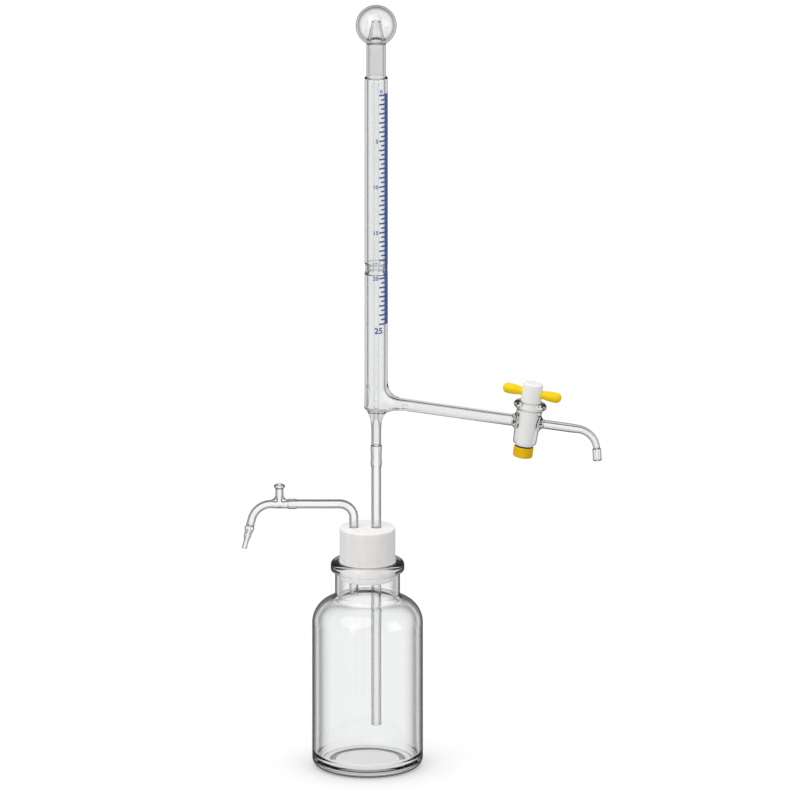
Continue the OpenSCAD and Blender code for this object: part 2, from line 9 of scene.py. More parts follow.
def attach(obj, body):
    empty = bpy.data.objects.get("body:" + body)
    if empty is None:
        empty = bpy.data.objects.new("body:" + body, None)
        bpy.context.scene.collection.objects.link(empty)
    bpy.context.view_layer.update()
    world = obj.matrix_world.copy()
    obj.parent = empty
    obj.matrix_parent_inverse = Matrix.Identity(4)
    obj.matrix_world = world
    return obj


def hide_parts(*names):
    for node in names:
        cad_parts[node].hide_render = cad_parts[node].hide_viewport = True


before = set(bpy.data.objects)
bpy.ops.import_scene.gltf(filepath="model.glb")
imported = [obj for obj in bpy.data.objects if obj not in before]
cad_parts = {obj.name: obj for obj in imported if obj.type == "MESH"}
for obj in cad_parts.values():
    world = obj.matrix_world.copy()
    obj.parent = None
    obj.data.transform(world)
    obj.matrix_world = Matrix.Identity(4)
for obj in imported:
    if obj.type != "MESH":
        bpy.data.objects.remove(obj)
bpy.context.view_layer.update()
scene = bpy.context.scene
scene.view_settings.view_transform = "Standard"
mm = 0.001


# camera, floor and light

photoView = {
    "target": (0.0252, 0.0, 0.2943),  # what stands in the middle of the picture
    "elevation": 16.0,
    "width": 0.62,                    # metres across the picture at the target
    "lens": 1500.0,                   # far off and long, so that hardly anything tapers
    "sensor": 36.0,
    "clip": (0.5, 100.0),
}


def makeCamera(v):
    data = bpy.data.cameras.new("photoCamera")
    data.lens = v["lens"]
    data.sensor_width = v["sensor"]
    data.clip_start, data.clip_end = v["clip"]
    tilt = math.radians(v["elevation"])
    back = Vector((0.0, -math.cos(tilt), math.sin(tilt)))
    cam = bpy.data.objects.new("photoCamera", data)
    cam.location = Vector(v["target"]) + back * (v["width"] * v["lens"] / v["sensor"])
    cam.rotation_euler = (math.pi / 2 - tilt, 0.0, 0.0)
    scene.collection.objects.link(cam)
    scene.camera = cam


class Nodes:
    # short way to place and join nodes in one tree
    def __init__(self, tree):
        self.tree = tree
        tree.nodes.clear()

    def add(self, kind, **values):
        node = self.tree.nodes.new(kind)
        for key, value in values.items():
            setattr(node, key, value)
        return node

    def join(self, source, target):
        self.tree.links.new(source, target)

    def feed(self, sockets, values):
        # numbers are set on the sockets, outputs are joined to them
        for socket, value in zip(sockets, values):
            if isinstance(value, (int, float)):
                socket.default_value = value
            elif value is not None:
                self.join(value, socket)

    def put(self, kind, inputs, **values):
        # a node with inputs given by name
        node = self.add(kind, **values)
        self.feed([node.inputs[name] for name in inputs], inputs.values())
        return node

    def math(self, operation, *values, clamp=False):
        node = self.add("ShaderNodeMath", operation=operation, use_clamp=clamp)
        self.feed(node.inputs, values)
        return node.outputs[0]

    def times(self, first, second):
        return self.math("MULTIPLY", first, second)

    def less(self, first, second):
        return self.math("SUBTRACT", first, second)

    def larger(self, first, second):
        return self.math("MAXIMUM", first, second)

    def anyOf(self, depth):
        # 1 from the first bounce on
        return self.math("MINIMUM", depth, 1.0)

    def range(self, value, *ends, smooth=True):
        node = self.add("ShaderNodeMapRange", interpolation_type="SMOOTHSTEP" if smooth else "LINEAR")
        self.feed(node.inputs, (value, *ends))
        return node.outputs["Result"]

    def mix(self, factor, first, second, blend="MIX"):
        node = self.add("ShaderNodeMix", data_type="RGBA", blend_type=blend)
        self.feed([node.inputs[name] for name in ("Factor", "A", "B")], (factor, first, second))
        return node.outputs["Result"]

    def vector(self, *values):
        node = self.add("ShaderNodeCombineXYZ")
        self.feed(node.inputs, values)
        return node.outputs[0]

    def split(self, vector):
        node = self.add("ShaderNodeSeparateXYZ")
        self.join(vector, node.inputs[0])
        return node.outputs


def shownRay(n):
    # 1 for rays of the eye, straight or by way of glass and gloss, and 1 for those that gloss mirrors
    path = n.add("ShaderNodeLightPath").outputs
    seen = n.larger(path["Is Camera Ray"], path["Is Glossy Ray"])
    mirrored = n.math("SUBTRACT", path["Is Glossy Ray"], path["Is Transmission Ray"], clamp=True)
    return path, n.larger(seen, path["Is Transmission Ray"]), mirrored


studio = {
    "fill": (0.66, 1.15),           # level that falls on the object from the sides and from above
    "fillBetween": (-0.1, 0.9),     # heights on a ball of radius 1
    "under": 1.15,                  # the same for what stands behind glass
    "zenith": 0.14,                 # level overhead, seen in glass alone
    "zenithBetween": (0.18, 0.72),
    "bounced": 0.80,                # level left after each inner reflection in glass
    "room": 0.22,                   # level that gloss mirrors between the two soft boxes
    "boxes": [(-31.0, 7.0, 2.6), (60.0, 15.0, 3.2)],  # degrees from the front, half width, level
    "boxEdge": (0.6, 1.4),          # shares of the half width over which a box fades
    "boxTop": (0.45, 0.85),
    "boxFoot": (-0.05, 0.10),
    "sun": 1.0,                     # soft key light, watts per square metre
    "sunSpread": 62.0,
    "sunFrom": (-0.42, -0.62, 0.90),
}


def mirroredLevel(n, aim, s):
    # what gloss mirrors: a dim room with upright soft boxes
    around = n.math("ARCTAN2", aim["X"], n.times(aim["Y"], -1.0))
    level = None
    for degrees, half, strength in s["boxes"]:
        off = n.math("ABSOLUTE", n.less(around, math.radians(degrees)))
        box = n.range(off, *[math.radians(half * share) for share in s["boxEdge"]], strength, 0.0)
        level = box if level is None else n.math("ADD", level, box)
    upper = n.range(aim["Z"], *s["boxTop"], 1.0, 0.0)
    lower = n.range(aim["Z"], *s["boxFoot"], 0.0, 1.0)
    return n.math("ADD", n.times(level, n.times(upper, lower)), s["room"])


def makeWorld(s):
    world = bpy.data.worlds.new("studioWorld")
    scene.world = world
    world.use_nodes = True
    n = Nodes(world.node_tree)
    path, shown, gloss = shownRay(n)
    aim = n.split(n.add("ShaderNodeTexCoord").outputs["Generated"])
    height = n.range(aim["Z"], *s["zenithBetween"], 1.0, s["zenith"])
    bounces = n.math("POWER", s["bounced"], path["Glossy Depth"])
    through = n.times(n.times(height, bounces), path["Is Transmission Ray"])
    mirrored = n.times(mirroredLevel(n, aim, s), gloss)
    fromMatt = n.anyOf(path["Diffuse Depth"])
    seen = n.larger(n.larger(through, mirrored), path["Is Camera Ray"])
    seen = n.times(seen, n.less(1.0, fromMatt))
    seen = n.math("ADD", seen, n.times(n.times(fromMatt, shown), s["under"]))
    fill = n.range(aim["Z"], *s["fillBetween"], *s["fill"])
    level = n.math("ADD", seen, n.times(n.less(1.0, shown), fill))
    background = n.put("ShaderNodeBackground", {"Strength": level})
    n.put("ShaderNodeOutputWorld", {"Surface": background.outputs[0]})

    data = bpy.data.lights.new("keyLight", "SUN")
    data.energy = s["sun"]
    data.angle = math.radians(s["sunSpread"])
    lamp = bpy.data.objects.new("keyLight", data)
    lamp.rotation_euler = Vector(s["sunFrom"]).to_track_quat("Z", "Y").to_euler()
    scene.collection.objects.link(lamp)


floorSheet = {
    "half": 30.0, "drop": 0.00005,
    "pale": 0.50,                              # tone that lights the object from below
    "shade": 0.88, "lift": 0.10,               # tone that takes the shadows, and its own light
    "glassShade": 0.04, "glassLift": 0.98,     # the same seen through glass
    "mirrored": 0.20,                          # level that gloss mirrors
}


def makeFloor(f, s):
    h, z = f["half"], -f["drop"]
    mesh = bpy.data.meshes.new("studioFloor")
    mesh.from_pydata([(-h, -h, z), (h, -h, z), (h, h, z), (-h, h, z)], [], [(0, 1, 2, 3)])
    mat = bpy.data.materials.new("paleFloor")
    mat.use_nodes = True
    mat.cycles.emission_sampling = "NONE"
    n = Nodes(mat.node_tree)
    path, shown, gloss = shownRay(n)
    tone = n.range(shown, 0.0, 1.0, f["pale"], f["shade"], smooth=False)
    tone = n.less(tone, n.times(path["Is Transmission Ray"], f["shade"] - f["glassShade"]))
    dim = n.range(gloss, 0.0, 1.0, 1.0, f["mirrored"], smooth=False)
    dim = n.times(dim, n.math("POWER", s["bounced"], path["Glossy Depth"]))
    dim = n.larger(dim, n.anyOf(path["Diffuse Depth"]))
    lift = n.range(path["Is Transmission Ray"], 0.0, 1.0, f["lift"], f["glassLift"], smooth=False)
    diffuse = n.put("ShaderNodeBsdfDiffuse", {"Color": n.times(tone, dim)})
    glow = n.put("ShaderNodeEmission", {"Strength": n.times(n.times(shown, lift), dim)})
    both = n.add("ShaderNodeAddShader")
    n.feed(both.inputs, (diffuse.outputs[0], glow.outputs[0]))
    n.put("ShaderNodeOutputMaterial", {"Surface": both.outputs[0]})
    mesh.materials.append(mat)
    floor = bpy.data.objects.new("studioFloor", mesh)
    scene.collection.objects.link(floor)


makeCamera(photoView)
makeWorld(studio)
makeFloor(floorSheet, studio)
print("studio: camera, world, key light and floor")


# finishes

def addSocket(tree, name, kind, value=None, side="INPUT"):
    socket = tree.interface.new_socket(name=name, in_out=side, socket_type="NodeSocket" + kind)
    if value is not None:
        socket.default_value = value
    return socket.identifier


mottleInputs = {
    "Tone": ("Color", (0.8, 0.8, 0.8, 1.0)), "Shade": ("Color", (0.7, 0.7, 0.7, 1.0)),
    "Cloud Scale": ("Float", 90.0), "Grain Scale": ("Float", 900.0),
    "Gloss Low": ("Float", 0.3), "Gloss High": ("Float", 0.4),
    "Upright": ("Float", 1.0),  # below 1 it draws the clouds out to upright streaks
}


def makeMottle():
    # soft cloud of two tones with a finer grain for gloss and relief
    tree = bpy.data.node_groups.new("mottle", "ShaderNodeTree")
    for name, (kind, value) in mottleInputs.items():
        addSocket(tree, name, kind, value)
    for name, kind in (("Color", "Color"), ("Roughness", "Float"), ("Height", "Float")):
        addSocket(tree, name, kind, side="OUTPUT")
    n = Nodes(tree)
    given = n.add("NodeGroupInput").outputs
    place = n.add("ShaderNodeTexCoord").outputs["Object"]
    streak = n.add("ShaderNodeVectorMath", operation="MULTIPLY")
    n.feed(streak.inputs, (place, n.vector(1.0, 1.0, given["Upright"])))
    cloud = n.put("ShaderNodeTexNoise",
                  {"Detail": 3.0, "Vector": streak.outputs[0], "Scale": given["Cloud Scale"]}).outputs["Fac"]
    grain = n.put("ShaderNodeTexNoise",
                  {"Detail": 2.0, "Vector": place, "Scale": given["Grain Scale"]}).outputs["Fac"]
    color = n.mix(n.range(cloud, 0.35, 0.65, 0.0, 1.0), given["Tone"], given["Shade"])
    gloss = n.range(grain, 0.0, 1.0, given["Gloss Low"], given["Gloss High"], smooth=False)
    n.put("NodeGroupOutput", {"Color": color, "Roughness": gloss, "Height": grain})
    return tree


mottle = makeMottle()


def startMaterial(name, look, relief):
    # a shader with the mottle's gloss and relief, and the mottle's colour
    mat = bpy.data.materials.new(name)
    mat.use_nodes = True
    n = Nodes(mat.node_tree)
    shader = n.add("ShaderNodeBsdfPrincipled")
    n.put("ShaderNodeOutputMaterial", {"Surface": shader.outputs[0]})
    group = n.add("ShaderNodeGroup", node_tree=mottle)
    for key, value in look.items():
        group.inputs[key].default_value = (*value, 1.0) if isinstance(value, tuple) else value
    strength, distance = relief
    bump = n.put("ShaderNodeBump",
                 {"Strength": strength, "Distance": distance, "Height": group.outputs["Height"]})
    n.join(bump.outputs["Normal"], shader.inputs["Normal"])
    n.join(group.outputs["Roughness"], shader.inputs["Roughness"])
    return mat, n, shader, group.outputs["Color"]


def solidFinish(name, look, relief, specular=0.5):
    mat, n, shader, color = startMaterial(name, look, relief)
    n.join(color, shader.inputs["Base Color"])
    shader.inputs["Specular IOR Level"].default_value = specular
    return mat


# painted shade: a ramp of glass colour by slant, dark towards the edges
def slantTone(n, slant, tones):
    ramp = n.add("ShaderNodeValToRGB")
    stops = ramp.color_ramp.elements
    for i, (place, tone) in enumerate(tones):
        stop = stops[i] if i < 2 else stops.new(place)
        stop.position = place
        stop.color = (tone, tone, tone, 1.0)
    n.join(slant, ramp.inputs["Fac"])
    return ramp.outputs["Color"]


leastLevel = 0.04  # keeps the slant in bounds for a look straight down


def levelSlant(n):
    # how far a wall turns aside, 0 to 1, whether it is seen from the level or from above
    facing = n.add("ShaderNodeLayerWeight").outputs["Facing"]
    rising = n.put("ShaderNodeLayerWeight", {"Normal": n.vector(0.0, 0.0, 1.0)}).outputs["Facing"]
    sine = n.less(1.0, rising)
    level = n.math("SQRT", n.larger(n.less(1.0, n.times(sine, sine)), leastLevel))
    share = n.math("DIVIDE", n.less(1.0, facing), level)
    return n.less(1.0, n.math("MINIMUM", share, 1.0))


flatNormal = (0.80, 0.97)  # upward share of the normal from which a face counts as level


def glassFinish(name, look, relief, ior, outer, inner, foot=None, level=None, rise=None, below=None):
    # painted shade: the glass colour darkens where a wall is met at a slant, and more so behind another wall,
    # to draw dark edge lines
    mat, n, shader, tint = startMaterial(name, look, relief)
    slant = levelSlant(n)
    height = n.split(n.add("ShaderNodeTexCoord").outputs["Object"])["Z"]
    if level:  # a floor that lies level stays clear of the painted edge shade
        upward = n.math("ABSOLUTE", n.split(n.add("ShaderNodeNewGeometry").outputs["Normal"])["Z"])
        flat = n.times(n.range(upward, *flatNormal, 0.0, 1.0), n.range(height, *level, 1.0, 0.0))
        slant = n.times(slant, n.less(1.0, flat))
    path = n.add("ShaderNodeLightPath").outputs
    first = slantTone(n, slant, outer)
    if below:  # other painted edge shades further down
        low, high, tones = below
        first = n.mix(n.range(height, low, high, 0.0, 1.0), slantTone(n, slant, tones), first)
    tone = n.mix(n.anyOf(path["Transmission Depth"]), first, slantTone(n, slant, inner))
    tone = n.mix(1.0, tint, tone, "MULTIPLY")
    if rise:  # painted shade by height
        tone = n.mix(1.0, tone, n.range(height, *rise), "MULTIPLY")
    if foot:  # light on its way to matt pieces stays whole, but the foot shades the floor
        tone = n.mix(n.anyOf(path["Diffuse Depth"]), tone, n.range(height, *foot, 1.0))
    n.join(tone, shader.inputs["Base Color"])
    shader.inputs["IOR"].default_value = ior
    shader.inputs["Transmission Weight"].default_value = 1.0
    return mat


# what several glasses share: gloss, grain and painted edge shade by slant
clearGloss = {"Gloss Low": 0.0, "Gloss High": 0.004}
drawnGlass = {"Cloud Scale": 160.0, "Upright": 0.05, "Grain Scale": 70.0, **clearGloss}
blownGlass = {"Cloud Scale": 60.0, "Grain Scale": 90.0, **clearGloss}
measuringLook = {"Tone": (0.935, 0.94, 0.94), "Shade": (0.90, 0.905, 0.905), **drawnGlass}
measuringInnerEdgeShade = [(0.0, 1.0), (0.32, 0.94), (0.46, 0.50), (0.58, 0.10), (0.80, 0.01), (1.0, 0.002)]
stemOuterEdgeShade = [(0.0, 1.0), (0.14, 0.95), (0.24, 0.50), (0.36, 0.18), (0.60, 0.10), (1.0, 0.05)]

bottleGlass = glassFinish(
    "bottleGlass",
    {"Tone": (0.96, 0.963, 0.963), "Shade": (0.945, 0.95, 0.95), "Cloud Scale": 60.0, "Upright": 0.05,
     "Grain Scale": 60.0, **clearGloss},
    (0.10, 0.0004), 1.51,
    # painted shade: dark outline lines with a lighter band between them, by slant
    [(0.0, 1.0), (0.25, 1.0), (0.38, 0.80), (0.47, 0.46), (0.51, 0.50), (0.57, 0.95), (0.62, 0.80),
     (0.67, 0.16), (0.76, 0.04), (0.86, 0.01), (1.0, 0.005)],
    [(0.0, 1.0), (0.30, 1.0), (0.45, 0.88), (0.58, 0.46), (0.66, 0.44), (0.76, 0.90), (0.86, 0.85),
     (0.95, 0.30), (1.0, 0.10)],
    foot=(0.010, 0.032, 0.0), level=(0.02, 0.03))
tubeGlass = glassFinish(
    "tubeGlass", measuringLook, (0.05, 0.0002), 1.47,
    [(0.0, 1.0), (0.60, 0.98), (0.80, 0.80), (1.0, 0.30)], measuringInnerEdgeShade)
stemGlass = glassFinish(
    "stemGlass",
    {"Tone": (0.975, 0.975, 0.975), "Shade": (0.955, 0.955, 0.955), **blownGlass},
    (0.05, 0.0002), 1.47, stemOuterEdgeShade,
    [(0.0, 1.0), (0.20, 0.97), (0.36, 0.55), (0.50, 0.18), (0.75, 0.04), (1.0, 0.01)])
footGlass = glassFinish(
    "footGlass", measuringLook, (0.05, 0.0002), 1.47,
    [(0.0, 1.0), (0.60, 0.95), (0.80, 0.75), (1.0, 0.30)], measuringInnerEdgeShade,
    level=(0.292, 0.294), below=(0.274, 0.283, stemOuterEdgeShade))
headGlass = glassFinish(
    "headGlass",
    {"Tone": (1.0, 1.0, 1.0), "Shade": (0.91, 0.91, 0.91), **drawnGlass, "Cloud Scale": 300.0},
    (0.08, 0.0003), 1.47,
    [(0.0, 1.0), (0.45, 0.97), (0.70, 0.75), (0.85, 0.40), (1.0, 0.15)],
    [(0.0, 1.0), (0.32, 0.94), (0.48, 0.62), (0.62, 0.25), (0.80, 0.05), (1.0, 0.01)],
    rise=(0.577, 0.587, 0.86, 1.0))
cockGlass = glassFinish(
    "cockGlass",
    {"Tone": (1.0, 1.0, 1.0), "Shade": (0.985, 0.985, 0.985), **blownGlass},
    (0.08, 0.0003), 1.47,
    [(0.0, 1.0), (0.34, 0.97), (0.50, 0.62), (0.66, 0.22), (0.82, 0.06), (1.0, 0.02)],
    [(0.0, 1.0), (0.40, 0.90), (0.60, 0.55), (0.80, 0.25), (1.0, 0.10)])
innerGlass = glassFinish(
    "innerGlass",
    {"Tone": (0.985, 0.985, 0.985), "Shade": (0.97, 0.97, 0.97), **blownGlass},
    (0.05, 0.0002), 1.22,  # low, so that the tube stays faint behind the outer wall
    [(0.0, 1.0), (0.60, 1.0), (1.0, 0.80)],
    [(0.0, 1.0), (0.60, 1.0), (1.0, 0.70)])
whiteRubber = solidFinish(
    "whiteRubber",
    {"Tone": (0.93, 0.915, 0.90), "Shade": (0.88, 0.865, 0.85), "Cloud Scale": 180.0, "Upright": 0.06,
     "Grain Scale": 1600.0, "Gloss Low": 0.50, "Gloss High": 0.66},
    (0.12, 0.0002), 0.15)
whitePtfe = solidFinish(
    "whitePtfe",
    {"Tone": (0.95, 0.95, 0.94), "Shade": (0.92, 0.92, 0.91), "Cloud Scale": 140.0,
     "Grain Scale": 2200.0, "Gloss Low": 0.32, "Gloss High": 0.46},
    (0.08, 0.0001), 0.25)
yellowPlastic = solidFinish(
    "yellowPlastic",
    {"Tone": (0.99, 0.71, 0.003), "Shade": (0.95, 0.65, 0.002), "Cloud Scale": 120.0,
     "Grain Scale": 1500.0, "Gloss Low": 0.26, "Gloss High": 0.36},
    (0.06, 0.0001), 0.2)
goldenPlastic = solidFinish(
    "goldenPlastic",
    {"Tone": (0.88, 0.55, 0.002), "Shade": (0.82, 0.49, 0.001), "Cloud Scale": 140.0,
     "Grain Scale": 1500.0, "Gloss Low": 0.30, "Gloss High": 0.42},
    (0.06, 0.0001), 0.2)
darkRubber = solidFinish(
    "darkRubber",
    {"Tone": (0.045, 0.042, 0.040), "Shade": (0.030, 0.029, 0.028), "Cloud Scale": 200.0,
     "Grain Scale": 2500.0, "Gloss Low": 0.45, "Gloss High": 0.60},
    (0.10, 0.0001))
blueEnamel = solidFinish(
    "blueEnamel",
    {"Tone": (0.062, 0.122, 0.400), "Shade": (0.080, 0.150, 0.460), "Cloud Scale": 300.0,
     "Grain Scale": 2500.0, "Gloss Low": 0.35, "Gloss High": 0.50},
    (0.06, 0.00005), 0.15)
print("finishes: glass, rubber, plug white, plastics, enamel")


# shapes

def looseShape(name, verts, faces, material=None):
    mesh = bpy.data.meshes.new(name)
    mesh.from_pydata((np.asarray(verts) * mm).tolist(), [], faces)
    if material:
        mesh.materials.append(material)
    piece = bpy.data.objects.new(name, mesh)
    scene.collection.objects.link(piece)
    return piece


def smoothFaces(mesh, sharpFrom=None):
    mesh.polygons.foreach_set("use_smooth", [True] * len(mesh.polygons))
    if sharpFrom:
        mesh.set_sharp_from_angle(angle=math.radians(sharpFrom))


def settle(piece, body, slot, replaced):
    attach(piece, body)
    piece.visible_diffuse = slot != "tube_glass"  # thin tubes take no light from matt pieces
    if replaced:
        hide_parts(*replaced)


def placePiece(name, skin, material, body, slot, *replaced):
    # a closed smooth skin, in millimetres, that rides on a body and stands for its solids
    verts, faces, normals = skin
    piece = looseShape(name, verts, faces, material)
    smoothFaces(piece.data)
    piece.data.update()
    piece.data.normals_split_custom_set_from_vertices(np.asarray(normals).tolist())
    settle(piece, body, slot, replaced)
    return piece


def bakedMesh(piece):
    done = piece.evaluated_get(bpy.context.evaluated_depsgraph_get())
    return bpy.data.meshes.new_from_object(done)


def cutWith(piece, cutters):
    # takes the cutters' shapes out of the piece
    for cutter in cutters:
        change = piece.modifiers.new("cut", "BOOLEAN")
        change.operation, change.solver, change.object = "DIFFERENCE", "EXACT", cutter
    mesh = bakedMesh(piece)
    piece.modifiers.clear()
    old, piece.data = piece.data, mesh
    mesh.name = piece.name
    bpy.data.meshes.remove(old)
    for cutter in cutters:
        data = cutter.data
        bpy.data.objects.remove(cutter)
        bpy.data.meshes.remove(data)


def roundOutline(corners, closed=True, steps=8):
    # corners (radius, height, rounding), anticlockwise, to points and normals
    # a fourth value in a corner keeps its whole rounding
    pts, nrm = [], []
    count = len(corners)
    for i, (r, z, fillet, *whole) in enumerate(corners):
        here = np.array((r, z))
        before = np.array(corners[i - 1][:2])
        after = np.array(corners[(i + 1) % count][:2])
        if not closed and i in (0, count - 1):
            way = after - here if i == 0 else here - before
            pts.append(here)
            nrm.append(np.array((0.0, 1.0 if way[0] < 0 else -1.0)))
            continue
        d1, d2 = here - before, after - here
        l1, l2 = np.linalg.norm(d1), np.linalg.norm(d2)
        d1, d2 = d1 / l1, d2 / l2
        turn = math.atan2(d1[0] * d2[1] - d1[1] * d2[0], d1 @ d2)
        if abs(turn) < 1e-6:
            pts.append(here)
            nrm.append(np.array((d1[1], -d1[0])))
            continue
        reach = fillet * math.tan(abs(turn) / 2)
        reach = reach if whole else min(reach, 0.499 * min(l1, l2))
        radius = reach / math.tan(abs(turn) / 2)
        side = 1.0 if turn > 0 else -1.0
        start = here - d1 * reach
        n1 = np.array((d1[1], -d1[0]))
        centre = start - side * radius * n1
        for k in range(steps + 1):
            a = turn * k / steps
            c, s = math.cos(a), math.sin(a)
            spin = np.array((n1[0] * c - n1[1] * s, n1[0] * s + n1[1] * c))
            pts.append(centre + side * radius * spin)
            nrm.append(spin)
    return np.array(pts), np.array(nrm)


def thicken(pts, nrm, step, closed=True):
    # adds points on long runs, so that they can follow a bend
    outP, outN = [], []
    last = len(pts) if closed else len(pts) - 1
    for i in range(len(pts)):
        outP.append(pts[i])
        outN.append(nrm[i])
        if i >= last:
            break
        j = (i + 1) % len(pts)
        parts = int(np.linalg.norm(pts[j] - pts[i]) // step)
        for k in range(1, parts + 1):
            t = k / (parts + 1)
            blend = nrm[i] * (1 - t) + nrm[j] * t
            outP.append(pts[i] * (1 - t) + pts[j] * t)
            outN.append(blend / np.linalg.norm(blend))
    return np.array(outP), np.array(outN)


def straightWay(origin, heading):
    origin, heading = np.array(origin, float), np.array(heading, float)
    heading = heading / np.linalg.norm(heading)

    def way(s):
        return origin + np.outer(s, heading), np.tile(heading, (len(s), 1))
    return way


def stepAlong(place, angle, run, d):
    # place and angle after a distance on a run, going straight on past the end of a bend
    if run[0] == "bend":
        radius, side = run[1], -math.copysign(1.0, run[2])
        inside = min(d, radius * math.radians(abs(run[2])))
        centre = place + side * radius * np.array((-math.sin(angle), math.cos(angle)))
        angle += side * inside / radius
        place = centre - side * radius * np.array((-math.sin(angle), math.cos(angle)))
        d -= inside
    return place + d * np.array((math.cos(angle), math.sin(angle))), angle


def benchWay(start, heading, runs):
    # way in the XZ plane: runs are ("go", length) or ("bend", radius, degrees), degrees positive to the right
    stations, done = [], 0.0
    place, angle = np.array(start, float), math.atan2(heading[1], heading[0])
    for run in runs:
        stations.append((done, place, angle, run))
        length = run[1] if run[0] == "go" else run[1] * math.radians(abs(run[2]))
        place, angle = stepAlong(place, angle, run, length)
        done += length

    def way(s):
        at, go = np.zeros((len(s), 3)), np.zeros((len(s), 3))
        for i, value in enumerate(s):
            begun, *station = [each for each in stations if each[0] <= value or each is stations[0]][-1]
            (x, z), a = stepAlong(*station, value - begun)
            at[i] = (x, 0.0, z)
            go[i] = (math.cos(a), 0.0, math.sin(a))
        return at, go
    return way, done


def turnAlong(way, pts, nrm, segments, closed, spin):
    # turns an outline of (radius, distance along) round a way
    at, go = way(pts[:, 1])
    sideways = np.array((0.0, 1.0, 0.0))
    upright = np.cross(sideways, go)
    verts, normals, rings, faces = [], [], [], []
    angles = np.arange(segments) * 2 * math.pi / segments
    for i, (r, _) in enumerate(pts):
        if r < 1e-6:
            rings.append([len(verts)])
            verts.append(at[i])
            normals.append(nrm[i][1] * go[i])
            continue
        out = np.outer(np.cos(angles), upright[i]) + np.outer(np.sin(angles), sideways)
        rings.append(list(range(len(verts), len(verts) + segments)))
        verts.extend(at[i] + r * out)
        normals.extend(nrm[i][0] * out + nrm[i][1] * go[i])
    for i in range(len(rings) if closed else len(rings) - 1):
        a, b = rings[i], rings[(i + 1) % len(rings)]
        for k in range(segments):
            m = (k + 1) % segments
            if len(a) == 1 and len(b) == 1:
                break
            if len(a) == 1:
                faces.append((a[0], b[m], b[k]))
            elif len(b) == 1:
                faces.append((a[k], a[m], b[0]))
            else:
                faces.append((a[k], a[m], b[m], b[k]))
    verts, normals = np.array(verts), np.array(normals)
    if spin is not None:
        verts, normals = moved(spin, verts), turned(spin, normals)
    return verts, faces, normals


def moved(m, verts):
    grid = np.array(m)
    return verts @ grid[:3, :3].T + grid[:3, 3]


def turned(m, vectors):
    return vectors @ np.array(m)[:3, :3].T


def smoothMin(a, b, k):
    h = np.clip(0.5 + 0.5 * (b - a) / k, 0.0, 1.0)
    return b * (1 - h) + a * h - k * h * (1 - h)


def smoothMax(a, b, k):
    return -smoothMin(-a, -b, k)


def easeBetween(value, low, high):
    t = np.clip((value - low) / (high - low), 0.0, 1.0)
    return t * t * (3 - 2 * t)


def slope(field, pts, h=0.01):
    grad = np.zeros_like(pts)
    for axis in range(3):
        step = np.zeros(3)
        step[axis] = h
        grad[:, axis] = (field(pts + step) - field(pts - step)) / (2 * h)
    return grad


def gridLine(*spans):
    # spans of (from, to, step) joined into one row of grid lines
    row = []
    for low, high, step in spans:
        count = max(1, int(round((high - low) / step)))
        row.extend(np.linspace(low, high, count, endpoint=False))
    row.append(spans[-1][1])
    return np.array(row)


def skinOf(field, grid, rounds=8):
    # closed skin of the space where the field is below zero, with exact normals
    # the grid has spans for X, Y and Z
    xs, ys, zs = [gridLine(*spans) for spans in grid]
    pts = np.stack(np.meshgrid(xs, ys, zs, indexing="ij"), -1)
    val = field(pts.reshape(-1, 3)).reshape(pts.shape[:3])
    inside = val < 0
    cells = tuple(c - 1 for c in val.shape)

    def corner(a, o):
        return a[o[0]:o[0] + cells[0], o[1]:o[1] + cells[1], o[2]:o[2] + cells[2]]

    total, count = np.zeros((*cells, 3)), np.zeros(cells)
    for o in [(a, b, c) for a in (0, 1) for b in (0, 1) for c in (0, 1)]:
        for axis in range(3):
            if o[axis]:
                continue
            p = tuple(1 if k == axis else o[k] for k in range(3))
            va, vb = corner(val, o), corner(val, p)
            cross = (va < 0) != (vb < 0)
            t = np.where(cross, va / np.where(cross, va - vb, 1.0), 0.0)[..., None]
            total += np.where(cross[..., None], corner(pts, o) * (1 - t) + corner(pts, p) * t, 0.0)
            count += cross
    active = count > 0
    index = np.full(cells, -1)
    index[active] = np.arange(active.sum())
    verts = total[active] / count[active][:, None]
    faces = []
    for axis in range(3):
        u, v = (axis + 1) % 3, (axis + 2) % 3
        low, high = [slice(None)] * 3, [slice(None)] * 3
        low[axis], high[axis] = slice(0, -1), slice(1, None)
        low[u] = high[u] = low[v] = high[v] = slice(1, -1)
        a, b = inside[tuple(low)], inside[tuple(high)]
        at = np.argwhere(a != b)
        outward = a[tuple(at.T)]
        at[:, u] += 1
        at[:, v] += 1
        du, dv = np.eye(3, dtype=int)[u], np.eye(3, dtype=int)[v]
        quad = np.stack([index[tuple((at - s).T)] for s in (du + dv, dv, 0 * du, du)], 1)
        quad[~outward] = quad[~outward][:, ::-1]
        faces.extend(map(tuple, quad.tolist()))
    reach = 0.5 * min(np.diff(xs).min(), np.diff(ys).min(), np.diff(zs).min())
    for _ in range(rounds):
        grad = slope(field, verts)
        move = -(field(verts) / np.maximum((grad ** 2).sum(1), 1e-6))[:, None] * grad
        size = np.linalg.norm(move, axis=1, keepdims=True)
        verts = verts + move * np.minimum(1.0, reach / np.maximum(size, 1e-9))
    grad = slope(field, verts)
    return verts, faces, grad / np.maximum(np.linalg.norm(grad, axis=1, keepdims=True), 1e-9)


def turning(way, corners, segments=96, closed=True, steps=8, step=None, spin=None):
    # skin of an outline that is rounded, refined and turned round a way
    pts, nrm = roundOutline(corners, closed, steps)
    if step:
        pts, nrm = thicken(pts, nrm, step, closed)
    return turnAlong(way, pts, nrm, segments, closed, spin)


def movedAlong(corners, base):
    return [(r, base + along, fillet) for r, along, fillet in corners]


def onAxis(x):
    return straightWay((x, 0, 0), (0, 0, 1))


upWay = onAxis(0)
sharp = 0.01  # rounding of a cutter's corners


# bottle and stopper

